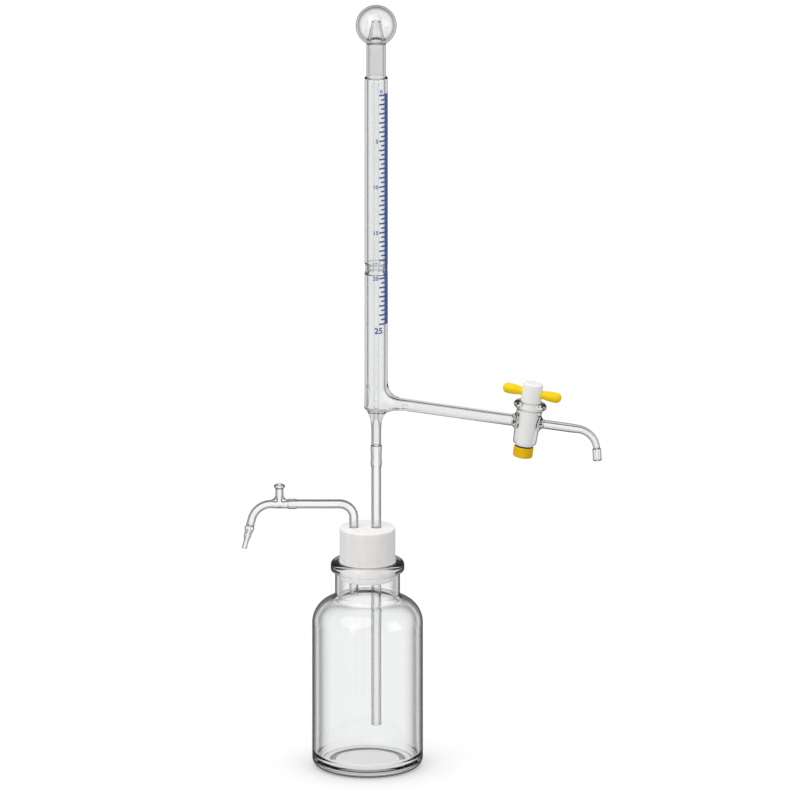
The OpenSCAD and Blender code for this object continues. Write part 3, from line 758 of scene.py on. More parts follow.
bottle = {
    "radius": 43.0, "wall": 3.5, "floor": 6.0, "heel": 7.0, "innerHeel": 7.0,
    "puntRadius": 29.5, "puntFlat": 25.0, "puntHeight": 2.4, "puntEdge": 3.0,
    "shoulderRadius": 20.0, "sideHeight": 115.0, "neckFillet": 4.0, "neckRadius": 25.2,
    "mouth": 164.985, "lipRadius": 28.6, "lipHeight": 8.0, "lipRound": 3.6, "lipRoot": 1.0, "mouthRound": 1.3,
}


def bottleCorners(b, inset):
    # corners whose roundings are the shoulder and the neck's hollow, set in by the wall for the inside
    cx = b["radius"] - b["shoulderRadius"]
    lean = b["neckRadius"] + b["neckFillet"] - cx
    a = math.acos(lean / (b["shoulderRadius"] + b["neckFillet"]))
    r = b["shoulderRadius"] - inset
    end = (cx + r * math.cos(a), b["sideHeight"] + r * math.sin(a))
    side, neck = b["radius"] - inset, b["neckRadius"] - inset
    low = end[1] - (side - end[0]) / math.tan(a)
    high = end[1] + (end[0] - neck) / math.tan(a)
    return [(side, low, r, True), (neck, high, b["neckFillet"] + inset, True)]


def makeBottle(b):
    lowLip = b["mouth"] - b["lipHeight"]
    corners = [
        (0.0, b["puntHeight"], 0), (b["puntFlat"], b["puntHeight"], b["puntEdge"]),
        (b["puntRadius"], 0.0, b["puntEdge"]), (b["radius"], 0.0, b["heel"]),
        *bottleCorners(b, 0.0),
        (b["neckRadius"], lowLip, b["lipRoot"]), (b["lipRadius"], lowLip, b["lipRound"]),
        (b["lipRadius"], b["mouth"], b["lipRound"]),
        (b["neckRadius"] - b["wall"], b["mouth"], b["mouthRound"]),
        *reversed(bottleCorners(b, b["wall"])),
        (b["radius"] - b["wall"], b["floor"], b["innerHeel"]), (0.0, b["floor"], 0),
    ]
    skin = turning(upWay, corners, 224, closed=False, steps=16, step=6.0)
    piece = placePiece("glassBottle", skin, bottleGlass, "bottle", "bottle_glass", "reagent_bottle")
    piece.visible_shadow = False  # lamps light the floor and the stopper's end through the clear wall


makeBottle(bottle)

stopper = {
    "topRadius": 21.65, "endRadius": 20.65, "end": 150.985, "seat": 163.785, "seatRound": 6.0, "top": 191.785,
    "edge": 0.9, "sink": 0.35, "sinkRound": 0.6, "overcut": 2.0, "sharpFrom": 32.0,
    "holes": [(6.8, 3.84), (-10.6, 3.54)],  # place on X and radius
}


def makeStopper(s):
    corners = [
        (0.0, s["end"], 0), (s["endRadius"], s["end"], s["edge"]),
        (s["topRadius"], s["seat"], s["seatRound"]),
        (s["topRadius"], s["top"], s["edge"]), (0.0, s["top"], 0),
    ]
    verts, faces, _ = turning(upWay, corners, 160, closed=False, steps=6, step=3.0)
    piece = looseShape("rubberStopper", verts, faces, whiteRubber)
    cutters = []
    low, high = s["end"] - s["overcut"], s["top"] + s["sink"]
    for i, (x, r) in enumerate(s["holes"]):
        hole = [(0.0, low, 0), (r, low, sharp), (r, s["top"] - s["sink"], s["sinkRound"]),
                (r + 2 * s["sink"], high, sharp), (0.0, high, 0)]
        verts, faces, _ = turning(onAxis(x), hole, 64, closed=False, steps=4)
        cutters.append(looseShape("stopperHole%d" % i, verts, faces))
    cutWith(piece, cutters)
    smoothFaces(piece.data, s["sharpFrom"])
    settle(piece, "stopper", "white_rubber", ["rubber_stopper"])


makeStopper(stopper)
print("bottle and stopper")


# burette glass

buretteX = 6.8


def placeGlass(name, skin, *replaced, glass=stemGlass, body="burette"):
    return placePiece(name, skin, glass, body, "tube_glass", *replaced)


dipStem = {
    "radius": 3.8, "bore": 2.4, "foot": 32.5, "edge": 0.55, "collarFrom": 240.8,
    "collar": [(3.8, -1.0, 2.5), (4.5, 2.2, 2.0), (4.15, 7.3, 2.0), (4.3, 10.5, 2.0), (4.5, 14.6, 1.6),
               (4.3, 17.0, 0.5), (2.25, 17.0, 0.4), (2.15, 14.0, 1.5), (2.4, 3.0, 2.0)],
}


def makeDipStem(d):
    corners = [(d["bore"], d["foot"], d["edge"]), (d["radius"], d["foot"], d["edge"]),
               *movedAlong(d["collar"], d["collarFrom"])]
    placeGlass("dipStem", turning(onAxis(buretteX), corners, step=12.0), "dip_tube", "stem_collar")


makeDipStem(dipStem)

measuringFoot = {
    "tubeRadius": 9.0, "bore": 7.15, "top": 396.465, "stemRadius": 3.8, "stemBore": 2.4, "fillBore": 1.7,
    "stemFrom": 257.84, "flareFrom": 270.0, "shoulderFrom": 285.2, "shoulderTo": 288.7, "flare": 1.7,
    "steep": 0.45, "narrowFrom": 270.0, "narrowTo": 283.0, "seal": 288.9, "sealRound": 0.8, "fillDepth": 3.0,
    "armHeight": 293.785, "armSlope": 8.3, "armRadius": 4.75, "armBore": 3.0, "armEnd": 105.96,
    "armRoot": 1.0, "armFillet": 12.0, "innerFillet": 11.0, "edge": 0.5, "rim": 0.4,
    "grid": [[(-3.4, 30.0, 0.42), (30.0, 108.0, 1.6), (108.0, 113.8, 0.35)], [(-10.08, 10.08, 0.42)],
             [(257.0, 312.0, 0.42), (312.0, 392.0, 2.4), (392.0, 397.4, 0.3)]],  # coarse on plain lengths
}


def makeMeasuringFoot(f):
    c, s = math.cos(math.radians(f["armSlope"])), math.sin(math.radians(f["armSlope"]))

    def field(p):
        x, y, z = p[:, 0] - buretteX, p[:, 1], p[:, 2]
        out = np.hypot(x, y)
        rest = f["tubeRadius"] - f["stemRadius"] - f["flare"]
        wide = f["stemRadius"] + f["flare"] * easeBetween(z, f["flareFrom"], f["shoulderTo"] - 2)
        wide = wide + rest * easeBetween(z, f["shoulderFrom"], f["shoulderTo"])
        bend = easeBetween(z, f["shoulderFrom"] - 1, f["shoulderFrom"] + 1) * (z < f["shoulderTo"])
        body = (out - wide) / (1.0 + f["steep"] * bend)
        body = smoothMax(body, z - f["top"], f["edge"])
        body = smoothMax(body, f["stemFrom"] - z, f["edge"])
        along = x * c - (z - f["armHeight"]) * s
        over = x * s + (z - f["armHeight"]) * c
        off = np.hypot(y, over)
        arm = smoothMax(off - f["armRadius"], along - f["armEnd"], f["edge"])
        solid = smoothMin(body, smoothMax(arm, -along, f["armRoot"]), f["armFillet"])
        solid = np.maximum(solid, f["stemFrom"] - z)
        chamber = smoothMax(out - f["bore"], f["seal"] - z, f["sealRound"])
        passage = smoothMax(off - f["armBore"], -along, f["armRoot"])
        chamber = smoothMin(chamber, passage, f["innerFillet"])
        slim = easeBetween(z, f["narrowFrom"], f["narrowTo"])
        narrow = f["stemBore"] + (f["fillBore"] - f["stemBore"]) * slim
        stem = smoothMax(out - narrow, z - f["seal"] - f["fillDepth"], f["edge"])
        return smoothMax(solid, -np.minimum(chamber, stem), f["rim"])

    placeGlass("measuringFoot", skinOf(field, f["grid"]), "bell_stem", "lower_measuring_tube", "side_arm",
               glass=footGlass)


makeMeasuringFoot(measuringFoot)

centringRing = {
    "from": 396.5, "to": 404.97, "radius": 9.0, "groove": 8.45, "bore": 7.15, "edge": 0.4,
    "slope": (1.6, 0.3), "lugs": 3, "lugWidth": 2.0, "lugHeight": 5.0, "lugEdge": 0.7, "hold": 2.83,
    "holdEdge": 0.3, "sunk": 0.6, "fillet": 1.0,
    "grid": [[(-2.65, 16.25, 0.3)], [(-9.45, 9.45, 0.3)], [(396.0, 405.47, 0.27)]],
}


def makeCentringRing(r):
    middle, half = (r["from"] + r["to"]) / 2, (r["to"] - r["from"]) / 2
    begin, end = r["slope"]

    def field(p):
        x, y, z = p[:, 0] - buretteX, p[:, 1], p[:, 2] - middle
        out = np.hypot(x, y)
        wide = r["groove"] + (r["radius"] - r["groove"]) * easeBetween(np.abs(z), half - begin, half - end)
        ring = smoothMax(smoothMax(out - wide, r["bore"] - out, r["edge"]), np.abs(z) - half, r["edge"])
        for k in range(r["lugs"]):
            a = math.radians(90 + 360 / r["lugs"] * k)
            along, across = x * math.cos(a) + y * math.sin(a), -x * math.sin(a) + y * math.cos(a)
            lug = smoothMax(np.abs(across) - r["lugWidth"] / 2, np.abs(z) - r["lugHeight"] / 2, r["lugEdge"])
            lug = smoothMax(lug, along - r["bore"] - r["sunk"], r["holdEdge"])
            lug = smoothMax(lug, r["hold"] - out, r["holdEdge"])
            ring = smoothMin(ring, np.maximum(lug, -along), r["fillet"])
        return ring

    placeGlass("centringRing", skinOf(field, r["grid"]), "centring_ring", glass=tubeGlass)


makeCentringRing(centringRing)

upperTube = {"bore": 7.15, "radius": 9.0, "from": 405.0, "to": 553.95, "edge": 0.45, "topRound": 1.1}


def makeUpperTube(u):
    corners = [
        (u["bore"], u["from"], u["edge"]), (u["radius"], u["from"], u["edge"]),
        (u["radius"], u["to"], u["topRound"]), (u["bore"], u["to"], u["edge"]),
    ]
    skin = turning(onAxis(buretteX), corners, 128, step=20.0)
    placeGlass("upperMeasuringTube", skin, "upper_measuring_tube", glass=tubeGlass)


makeUpperTube(upperTube)

fillingTube = {
    "bore": 1.7, "radius": 2.8, "from": 286.72, "to": 548.98, "edge": 0.3,
    "tipRadius": 2.5, "tipFrom": 546.5, "tipRound": 4.0, "tipEdge": 0.45, "boreEdge": 0.4,
}


def makeFillingTube(t):
    corners = [
        (t["bore"], t["from"], t["edge"]), (t["radius"], t["from"], t["edge"]),
        (t["radius"], t["tipFrom"], t["tipRound"]),
        (t["tipRadius"], t["to"], t["tipEdge"]), (t["bore"], t["to"], t["boreEdge"]),
    ]
    skin = turning(onAxis(buretteX), corners, 64, step=20.0)
    placeGlass("fillingTube", skin, "filling_tube", glass=innerGlass)


makeFillingTube(fillingTube)

bulbHead = {
    "radius": 7.6, "bore": 6.1, "from": 554.0, "bulbRadius": 15.9, "bulbWall": 1.6, "bulbHeight": 595.355,
    "spoutRoot": 6.4, "spoutTip": 3.45, "tip": 598.5, "spoutWall": 1.45, "join": 583.4, "throat": 3.0,
    "edge": 0.45, "tipEdge": 0.5, "throatLift": 0.6, "boreDrop": 3.2, "boreRound": 3.0,
    "rootOut": 0.2, "rootLift": 0.3, "rootRound": 1.5, "rootReach": 0.9,
    "clear": (5, 4),  # degrees that the ball keeps off the spout's root inside and off the neck outside
    "whole": 200.0,   # rounding that keeps the ball's short sides smooth
}


def makeBulbHead(b):
    def ball(radius, low, high, count=26):
        # points of a circle round the bulb's middle, angles from straight up
        angles = [math.radians(low + (high - low) * k / count) for k in range(count + 1)]
        return [(radius * math.sin(a), b["bulbHeight"] + radius * math.cos(a), b["whole"]) for a in angles]

    inside = b["bulbRadius"] - b["bulbWall"]
    meet = math.degrees(math.asin(b["radius"] / b["bulbRadius"]))
    spoutMeet = math.degrees(math.asin((b["spoutRoot"] + b["rootReach"]) / inside))
    foot = b["bulbHeight"] - b["bulbRadius"] * math.cos(math.radians(meet))
    corners = [
        *ball(inside, 0, 180 - spoutMeet - b["clear"][0]),
        (b["spoutRoot"] + b["rootOut"], b["join"] + b["rootLift"], b["rootRound"]),
        (b["spoutTip"], b["tip"], b["tipEdge"]), (b["spoutTip"] - b["spoutWall"], b["tip"], b["tipEdge"]),
        (b["spoutRoot"] - b["spoutWall"], b["join"], b["boreRound"]),
        (b["bore"], b["join"] - b["boreDrop"], b["boreRound"]),
        (b["bore"], b["from"], b["edge"]), (b["radius"], b["from"], b["edge"]),
        (b["radius"], foot + b["throatLift"], b["throat"]),
        *ball(b["bulbRadius"], 180 - meet - b["clear"][1], 0),
    ]
    corners[0] = (0.0, corners[0][1], 0)
    corners[-1] = (0.0, corners[-1][1], 0)
    skin = turning(onAxis(buretteX), corners, 144, closed=False, steps=6)
    placeGlass("bulbHead", skin, "head_tube", "overflow_bulb", glass=headGlass)


makeBulbHead(bulbHead)
print("burette glass")


# stopcock, in a frame with X along the arm and Z along the key

stopcock = {"x": 124.158, "z": 276.664, "slope": 8.3, "keyTurn": -14.0}
stopcockSpot = (Matrix.Translation((stopcock["x"], 0.0, stopcock["z"]))
                @ Matrix.Rotation(math.radians(stopcock["slope"]), 4, "Y"))
keySpot = stopcockSpot @ Matrix.Rotation(math.radians(stopcock["keyTurn"]), 4, "Z")

barrel = {
    "up": 16.2, "down": 17.8, "radius": 10.2, "endRadius": 9.15, "rimRadius": 13.0, "rimHeight": 5.4,
    "topEdge": 0.8, "endRound": 2.6, "rimRound": 3.6, "rimFillet": 1.6,
    "boss": 5.3, "bossFillet": 2.4, "armEnd": 4.75, "outletEnd": 3.5, "reach": 12.58,
    "port": 1.25, "widenFrom": 7.5, "armBore": 3.0, "outletBore": 1.5, "edge": 0.4, "mouthEdge": 0.35,
    "plugTop": 7.55, "plugEnd": 6.65,
    "grid": [[(-13.6, 13.6, 0.34)], [(-13.6, 13.6, 0.36)], [(-18.6, 16.9, 0.36)]],
}


def makeBarrel(b):
    tall, half = b["up"] + b["down"], b["rimHeight"] / 2

    def between(low, high, share):
        return low + (high - low) * share

    def field(p):
        x, y, z = p[:, 0], p[:, 1], p[:, 2]
        out, off, aside = np.hypot(x, y), np.hypot(y, z), np.abs(x)
        rise = (z + b["down"]) / tall
        tube = smoothMax(out - between(b["endRadius"], b["radius"], rise), z - b["up"], b["topEdge"])
        tube = smoothMax(tube, -b["down"] - z, b["endRound"])
        rim = smoothMax(out - b["rimRadius"], np.abs(z - b["up"] + half) - half, b["rimRound"])
        solid = smoothMin(tube, rim, b["rimFillet"])
        tip = np.where(x > 0, b["outletEnd"], b["armEnd"])
        boss = between(b["boss"], tip, easeBetween(aside, b["radius"] - 1.0, b["reach"]))
        port = smoothMax(off - boss, aside - b["reach"], b["edge"])
        solid = smoothMin(solid, port, b["bossFillet"])
        seat = out - between(b["plugEnd"], b["plugTop"], rise)
        bore = np.where(x > 0, b["outletBore"], b["armBore"])
        way = off - between(b["port"], bore, easeBetween(aside, b["widenFrom"], b["reach"]))
        return smoothMax(solid, -smoothMin(seat, way, b["edge"]), b["mouthEdge"])

    verts, faces, normals = skinOf(field, b["grid"])
    skin = moved(stopcockSpot, verts), faces, turned(stopcockSpot, normals)
    piece = placeGlass("stopcockBarrel", skin, "stopcock_barrel", glass=cockGlass)
    piece.visible_shadow = False  # lamps light the plug through the clear wall


makeBarrel(barrel)

outlet = {
    "from": 12.62, "straight": 39.4, "bend": 17.0, "angle": 78.0, "radius": 3.5, "endRadius": 2.75,
    "bore": 1.5, "endBore": 1.15, "edge": 0.35, "endEdge": 0.3, "gap": 0.02,
    "bendRadius": 3.1, "taperFrom": -5.0, "taperTo": 3.0, "taperRound": 14.0, "boreRound": 8.0,
    "jetRadius": 3.4, "jetBore": 1.1, "jetLength": 9.68, "jetShoulder": 0.9, "jetRound": 0.6,
}


def makeOutlet(o):
    way, length = benchWay((0.0, 0.0), (1.0, 0.0), [("go", o["straight"]), ("bend", o["bend"], o["angle"])])
    mid, end = o["straight"], length - o["gap"]
    corners = [
        (o["bore"], o["from"], o["edge"]), (o["radius"], o["from"], o["edge"]),
        (o["radius"], mid + o["taperFrom"], o["taperRound"]),
        (o["bendRadius"], mid + o["taperTo"], o["taperRound"]),
        (o["endRadius"], end, o["endEdge"]), (o["endBore"], end, o["endEdge"]),
        (o["bore"], mid, o["boreRound"]),
    ]
    placeGlass("deliveryTube", turning(way, corners, 72, step=0.8, spin=stopcockSpot), "delivery_tube")
    at, go = way(np.array([length]))
    tip = [
        (o["jetBore"], o["gap"], o["endEdge"]), (o["jetRadius"], o["gap"], o["jetShoulder"]),
        (o["jetRadius"], o["jetLength"], o["jetRound"]), (o["jetBore"], o["jetLength"], o["endEdge"]),
    ]
    placeGlass("jetTip", turning(straightWay(at[0], go[0]), tip, 72, spin=stopcockSpot), "jet_tip")


makeOutlet(outlet)

plug = {
    "top": 31.8, "head": 16.5, "headRadius": 7.8, "round": 1.6, "rim": 16.2, "seatTop": 7.5, "seatEnd": 6.62,
    "end": -17.0, "stub": 4.4, "tip": -27.4, "bar": 23.7, "barRadius": 3.32, "port": 1.25,
    "edge": 0.3, "stubEdge": 0.6, "seatEdge": 0.5, "neckEdge": 0.12, "cutHalf": 12.0, "sharpFrom": 30.0,
}


def makePlug(k):
    corners = [
        (0.0, k["tip"], 0), (k["stub"], k["tip"], k["stubEdge"]), (k["stub"], k["end"], k["edge"]),
        (k["seatEnd"], k["end"], k["seatEdge"]), (k["seatTop"], k["rim"], k["edge"]),
        (k["seatTop"], k["head"], k["neckEdge"]), (k["headRadius"], k["head"], k["edge"]),
        (k["headRadius"], k["top"], k["round"]), (0.0, k["top"], 0),
    ]
    verts, faces, _ = turning(upWay, corners, 128, closed=False, step=2.5, spin=keySpot)
    piece = looseShape("stopcockPlug", verts, faces, whitePtfe)
    cutters = []
    end = k["cutHalf"]
    for name, z, r in (("barHole", k["bar"], k["barRadius"]), ("portHole", 0.0, k["port"])):
        hole = [(0.0, -end, 0), (r, -end, sharp), (r, end, sharp), (0.0, end, 0)]
        across = straightWay((0, 0, z), (1, 0, 0))
        verts, faces, _ = turning(across, hole, 48, closed=False, steps=2, spin=keySpot)
        cutters.append(looseShape(name, verts, faces))
    cutWith(piece, cutters)
    smoothFaces(piece.data, k["sharpFrom"])
    settle(piece, "stopcock_key", "white_ptfe", ["stopcock_plug"])


makePlug(plug)

handle = {
    "bar": 23.7, "rod": 3.3, "rodHalf": 18.98, "knob": 4.1, "knobLength": 13.0,
    "taper": 4.6, "taperRound": 8.0, "half": 23.5, "round": 3.95, "socket": 8.52, "fit": 0.02, "lip": 0.15,
    "rodEdge": 0.3, "socketEdge": 0.2, "lipEdge": 0.1,
}


def makeHandle(h):
    def place(name, way, corners, segments, step, node):
        skin = turning(way, corners, segments, closed=False, step=step, spin=keySpot)
        placePiece(name, skin, yellowPlastic, "stopcock_key", "yellow_plastic", node)

    rod, end, bore, edge = h["rod"], h["rodHalf"], h["rod"] + h["fit"], h["rodEdge"]
    place("handleRod", straightWay((0, 0, h["bar"]), (1, 0, 0)),
          [(0.0, -end, 0), (rod, -end, edge), (rod, end, edge), (0.0, end, 0)], 64, 3.0, "handle_rod")
    corners = [
        (0.0, h["socket"], 0), (bore, h["socket"], h["socketEdge"]),
        (bore, 0.0, h["lipEdge"]), (rod + h["lip"], 0.0, h["lipEdge"]),
        (h["knob"], h["taper"], h["taperRound"]), (h["knob"], h["knobLength"], h["round"], True),
        (0.0, h["knobLength"], 0),
    ]
    for side, word in ((-1, "Left"), (1, "Right")):
        way = straightWay((side * (h["half"] - h["knobLength"]), 0, h["bar"]), (side, 0, 0))
        place("handleKnob" + word, way, corners, 72, 1.5, "handle_knob_" + word.lower())


makeHandle(handle)

nutSet = {
    "washer": (-18.5, -17.9, 4.6, 7.3),  # lower and upper face, bore and rim
    "ring": (-19.76, 5.45, 1.24),        # height, mean radius and half thickness
    "washerEdge": (0.15, 0.3),           # at the bore and at the rim
    "ringSides": 24, "sideRound": 50.0,  # sides of the ring's outline, each rounded as far as it goes
    "threadEdge": 0.5, "rimEdge": 0.35, "cupEdge": 0.25, "cupRound": 0.3,
    "top": -19.8, "end": -28.12, "radius": 7.7, "thread": 4.45, "cup": 6.8, "cupFloor": -21.02, "round": 1.4,
}


def makeNutSet(s):
    low, high, bore, rim = s["washer"]
    inner, outer = s["washerEdge"]
    washer = [(bore, low, inner), (rim, low, outer), (rim, high, outer), (bore, high, inner)]
    placePiece("slipWasher", turning(upWay, washer, steps=4, spin=keySpot), whitePtfe,
               "nut_rings", "white_ptfe", "ptfe_washer")
    z, mean, half = s["ring"]
    angles = np.arange(s["ringSides"]) * 2 * math.pi / s["ringSides"]
    circle = [(mean + half * math.cos(a), z + half * math.sin(a), s["sideRound"]) for a in angles]
    placePiece("springRing", turning(upWay, circle, steps=1, spin=keySpot), darkRubber,
               "nut_rings", "dark_rubber", "o_ring")
    nut = [
        (s["thread"], s["end"], s["threadEdge"]), (s["radius"], s["end"], s["round"]),
        (s["radius"], s["top"], s["rimEdge"]), (s["cup"], s["top"], s["cupEdge"]),
        (s["cup"], s["cupFloor"], s["cupRound"]), (s["thread"], s["cupFloor"], s["cupEdge"]),
    ]
    placePiece("tensionNut", turning(upWay, nut, 128, steps=6, step=1.5, spin=keySpot), goldenPlastic,
               "nut", "golden_plastic", "tension_nut")


makeNutSet(nutSet)
print("stopcock, handle, nut and outlet")


# air tube

airTube = {
    "x": -10.6, "foot": 137.985, "bendFrom": 199.485, "elbow": 11.0, "level": 40.15,
    "radius": 3.5, "bore": 2.3, "edge": 0.5, "boreEdge": 0.45, "collarLength": 6.5,
    "collar": [(3.5, -0.6, 1.2), (4.15, 1.3, 1.2), (3.9, 3.4, 1.5), (4.15, 5.3, 1.2), (3.75, 6.48, 0.4),
               (2.1, 6.48, 0.4), (2.3, 0.0, 3.0)],
}


def makeAirTube(a):
    way, length = benchWay((a["x"], a["foot"]), (0.0, 1.0), [
        ("go", a["bendFrom"] - a["foot"]), ("bend", a["elbow"], -90.0), ("go", a["level"])])
    corners = [(a["bore"], 0.0, a["boreEdge"]), (a["radius"], 0.0, a["edge"]),
               *movedAlong(a["collar"], length - a["collarLength"])]
    skin = turning(way, corners, 80, step=0.9)
    placeGlass("airElbow", skin, "air_elbow_tube", "air_joint_collar", body="air_tube")


makeAirTube(airTube)

ventTee = {
    "from": -61.77, "z": 210.485, "bendX": -74.2, "bend": 16.0, "angle": 76.0, "end": 5.58, "radius": 3.5,
    "tailRadius": 3.2, "thinFrom": -1.0, "thinTo": 3.0, "bore": 2.0, "endEdge": 0.4, "mouthEdge": 0.35,
    "vent": -68.3, "ventRadius": 3.15, "ventBore": 1.9, "ventEdge": 0.5, "top": 225.985, "root": 4.2,
    "rimRadius": 4.45, "rimHeight": 2.6, "rimRound": 1.8, "rimFillet": 0.9, "boreFillet": 0.6,
    "nozzle": [(1.2, 5.62, 0.3), (3.2, 5.62, 0.35), (3.9, 7.62, 0.5), (2.65, 12.3, 0.5), (3.1, 12.95, 0.4),
               (2.0, 18.02, 1.2), (2.0, 24.42, 0.45), (1.2, 24.42, 0.3)],  # two barbs and the plain tip
    "grid": [[(-97.5, -60.8, 0.33)], [(-5.28, 5.28, 0.33)], [(190.0, 226.9, 0.33)]],
}


def makeVentTee(t):
    turn, half = math.radians(t["angle"]), t["rimHeight"] / 2
    hub = np.array((t["bendX"], t["z"] - t["bend"]))
    tail = hub + t["bend"] * np.array((-math.sin(turn), math.cos(turn)))
    down = np.array((-math.cos(turn), -math.sin(turn)))

    def field(p):
        x, y, z = p[:, 0], p[:, 1], p[:, 2]
        lx, lz = x - hub[0], z - hub[1]
        level = np.hypot(y, z - t["z"])
        arc = np.hypot(np.hypot(lx, lz) - t["bend"], y)
        turnedDown = np.arctan2(-lx, lz) > turn * 0.5
        dx, dz = x - tail[0], z - tail[1]
        along = dx * down[0] + dz * down[1]
        drop = np.hypot(y, dx * down[1] - dz * down[0])
        way = np.where(x > t["bendX"], level, np.where((along > 0) & turnedDown, drop, arc))
        thin = easeBetween(x, t["bendX"] + t["thinFrom"], t["bendX"] + t["thinTo"])
        wide = t["tailRadius"] + (t["radius"] - t["tailRadius"]) * thin
        tube = smoothMax(way - wide, x - t["from"], t["endEdge"])
        tube = smoothMax(tube, np.where(turnedDown, along - t["end"], -9.0), t["endEdge"])
        out = np.hypot(x - t["vent"], y)
        spout = smoothMax(out - t["ventRadius"], z - t["top"], t["ventEdge"])
        spout = smoothMax(spout, t["z"] - z, t["ventEdge"])
        rim = smoothMax(out - t["rimRadius"], np.abs(z - t["top"] + half) - half, t["rimRound"])
        solid = smoothMin(tube, smoothMin(spout, rim, t["rimFillet"]), t["root"])
        vent = smoothMax(out - t["ventBore"], t["z"] - z, t["ventEdge"])
        hollow = smoothMin(way - t["bore"], vent, t["boreFillet"])
        return smoothMax(solid, -hollow, t["mouthEdge"])

    placeGlass("ventTee", skinOf(field, t["grid"]), "vent_tee_tube", "vent_spout", body="air_tube")
    way = straightWay((tail[0], 0, tail[1]), (down[0], 0, down[1]))
    placeGlass("hoseNozzle", turning(way, t["nozzle"], 72), "hose_nozzle", body="air_tube")


makeVentTee(ventTee)
print("air tube")


# scale

scaleMarks = {
    "zero": 541.4, "last": 357.7, "steps": 50, "radius": 9.06, "thick": 0.08, "tall": 1.3,
    "lineAt": 57.0, "longFrom": 15.0, "shortFrom": 24.0,       # degrees from the front, to the right
    "bandFrom": 51.0, "bandTo": 76.0, "bandSteps": 8,
    "upperTo": 406.0, "lowerFrom": 395.6,                      # marks keep off the ring between these
}
enamelSharp = 40.0

tickInputs = {
    "Count": "Int", "Pitch": "Float", "Top": "Float", "First Long": "Int", "Radius": "Float",
    "Centre": "Float", "Thick": "Float", "Tall": "Float", "End Angle": "Float", "Long Sweep": "Float",
    "Short Sweep": "Float", "Enamel": "Material",
}


def makeTickTree():
    # a row of arcs down the tube, every second one short
    tree = bpy.data.node_groups.new("scaleTicks", "GeometryNodeTree")
    addSocket(tree, "Geometry", "Geometry", side="OUTPUT")
    keys = {name: addSocket(tree, name, kind) for name, kind in tickInputs.items()}
    n = Nodes(tree)
    given = n.add("NodeGroupInput").outputs
    line = n.put("GeometryNodeMeshLine", {
        "Count": given["Count"], "Start Location": n.vector(given["Centre"], None, given["Top"]),
        "Offset": n.vector(None, None, n.times(given["Pitch"], -1.0)),
    }, mode="OFFSET", count_mode="TOTAL")
    section = n.put("GeometryNodeCurvePrimitiveQuadrilateral", {
        "Width": given["Thick"], "Height": given["Tall"]})
    shapes = n.add("GeometryNodeGeometryToInstance")
    for name in ("Short Sweep", "Long Sweep"):
        arc = n.put("GeometryNodeCurveArc", {
            "Resolution": 14, "Radius": given["Radius"], "Sweep Angle": given[name],
            "Start Angle": n.less(given["End Angle"], given[name]),
        }, mode="RADIUS")
        level = n.put("GeometryNodeSetCurveNormal", {"Curve": arc.outputs["Curve"]}, mode="Z_UP")
        band = n.put("GeometryNodeCurveToMesh", {
            "Curve": level.outputs["Curve"], "Profile Curve": section.outputs["Curve"], "Fill Caps": True})
        n.join(band.outputs["Mesh"], shapes.inputs["Geometry"])
    row = n.math("ADD", n.add("GeometryNodeInputIndex").outputs[0], given["First Long"])
    copies = n.put("GeometryNodeInstanceOnPoints", {
        "Points": line.outputs["Mesh"], "Instance": shapes.outputs["Instances"], "Pick Instance": True,
        "Instance Index": n.math("MODULO", row, 2.0)})
    real = n.put("GeometryNodeRealizeInstances", {"Geometry": copies.outputs["Instances"]})
    paint = n.put("GeometryNodeSetMaterial", {
        "Geometry": real.outputs["Geometry"], "Material": given["Enamel"]})
    n.put("NodeGroupOutput", {"Geometry": paint.outputs["Geometry"]})
    return tree, keys


def frontAngle(degrees):
    # angle round the tube from the front, to the right
    return math.radians(degrees - 90.0)


def settleEnamel(piece):
    # faces outward, on the burette
    mesh = piece.data
    work = bmesh.new()
    work.from_mesh(mesh)
    bmesh.ops.remove_doubles(work, verts=work.verts, dist=1e-7)
    bmesh.ops.recalc_face_normals(work, faces=work.faces)
    work.to_mesh(mesh)
    work.free()
    smoothFaces(mesh, enamelSharp)
    settle(piece, "burette", "tube_glass", [])


def growTicks(name, tree, keys, values):
    holder = bpy.data.objects.new(name, bpy.data.meshes.new(name + "Holder"))
    scene.collection.objects.link(holder)
    change = holder.modifiers.new("scaleTicks", "NODES")
    change.node_group = tree
    for key, value in values.items():
        change[keys[key]] = value
    mesh = bakedMesh(holder)
    mesh.name = name
    holder.modifiers.clear()
    holder.data = mesh
    settleEnamel(holder)


def scaleBand(name, s, low, high):
    # upright enamel line along the ends of the ticks
    steps = s["bandSteps"]
    verts, faces = [], []
    for k in range(steps + 1):
        a = frontAngle(s["bandFrom"] + (s["bandTo"] - s["bandFrom"]) * k / steps)
        for r in (s["radius"] - s["thick"] / 2, s["radius"] + s["thick"] / 2):
            for z in (low, high):
                verts.append((buretteX + r * math.cos(a), r * math.sin(a), z))
    for k in range(steps):
        i, j = 4 * k, 4 * k + 4
        faces += [(i + 2, j + 2, j + 3, i + 3), (i, i + 1, j + 1, j)]
        faces += [(i, j, j + 2, i + 2), (i + 1, i + 3, j + 3, j + 1)]
    e = 4 * steps
    faces += [(0, 2, 3, 1), (e, e + 1, e + 3, e + 2)]
    piece = looseShape(name, verts, faces, blueEnamel)
    settleEnamel(piece)


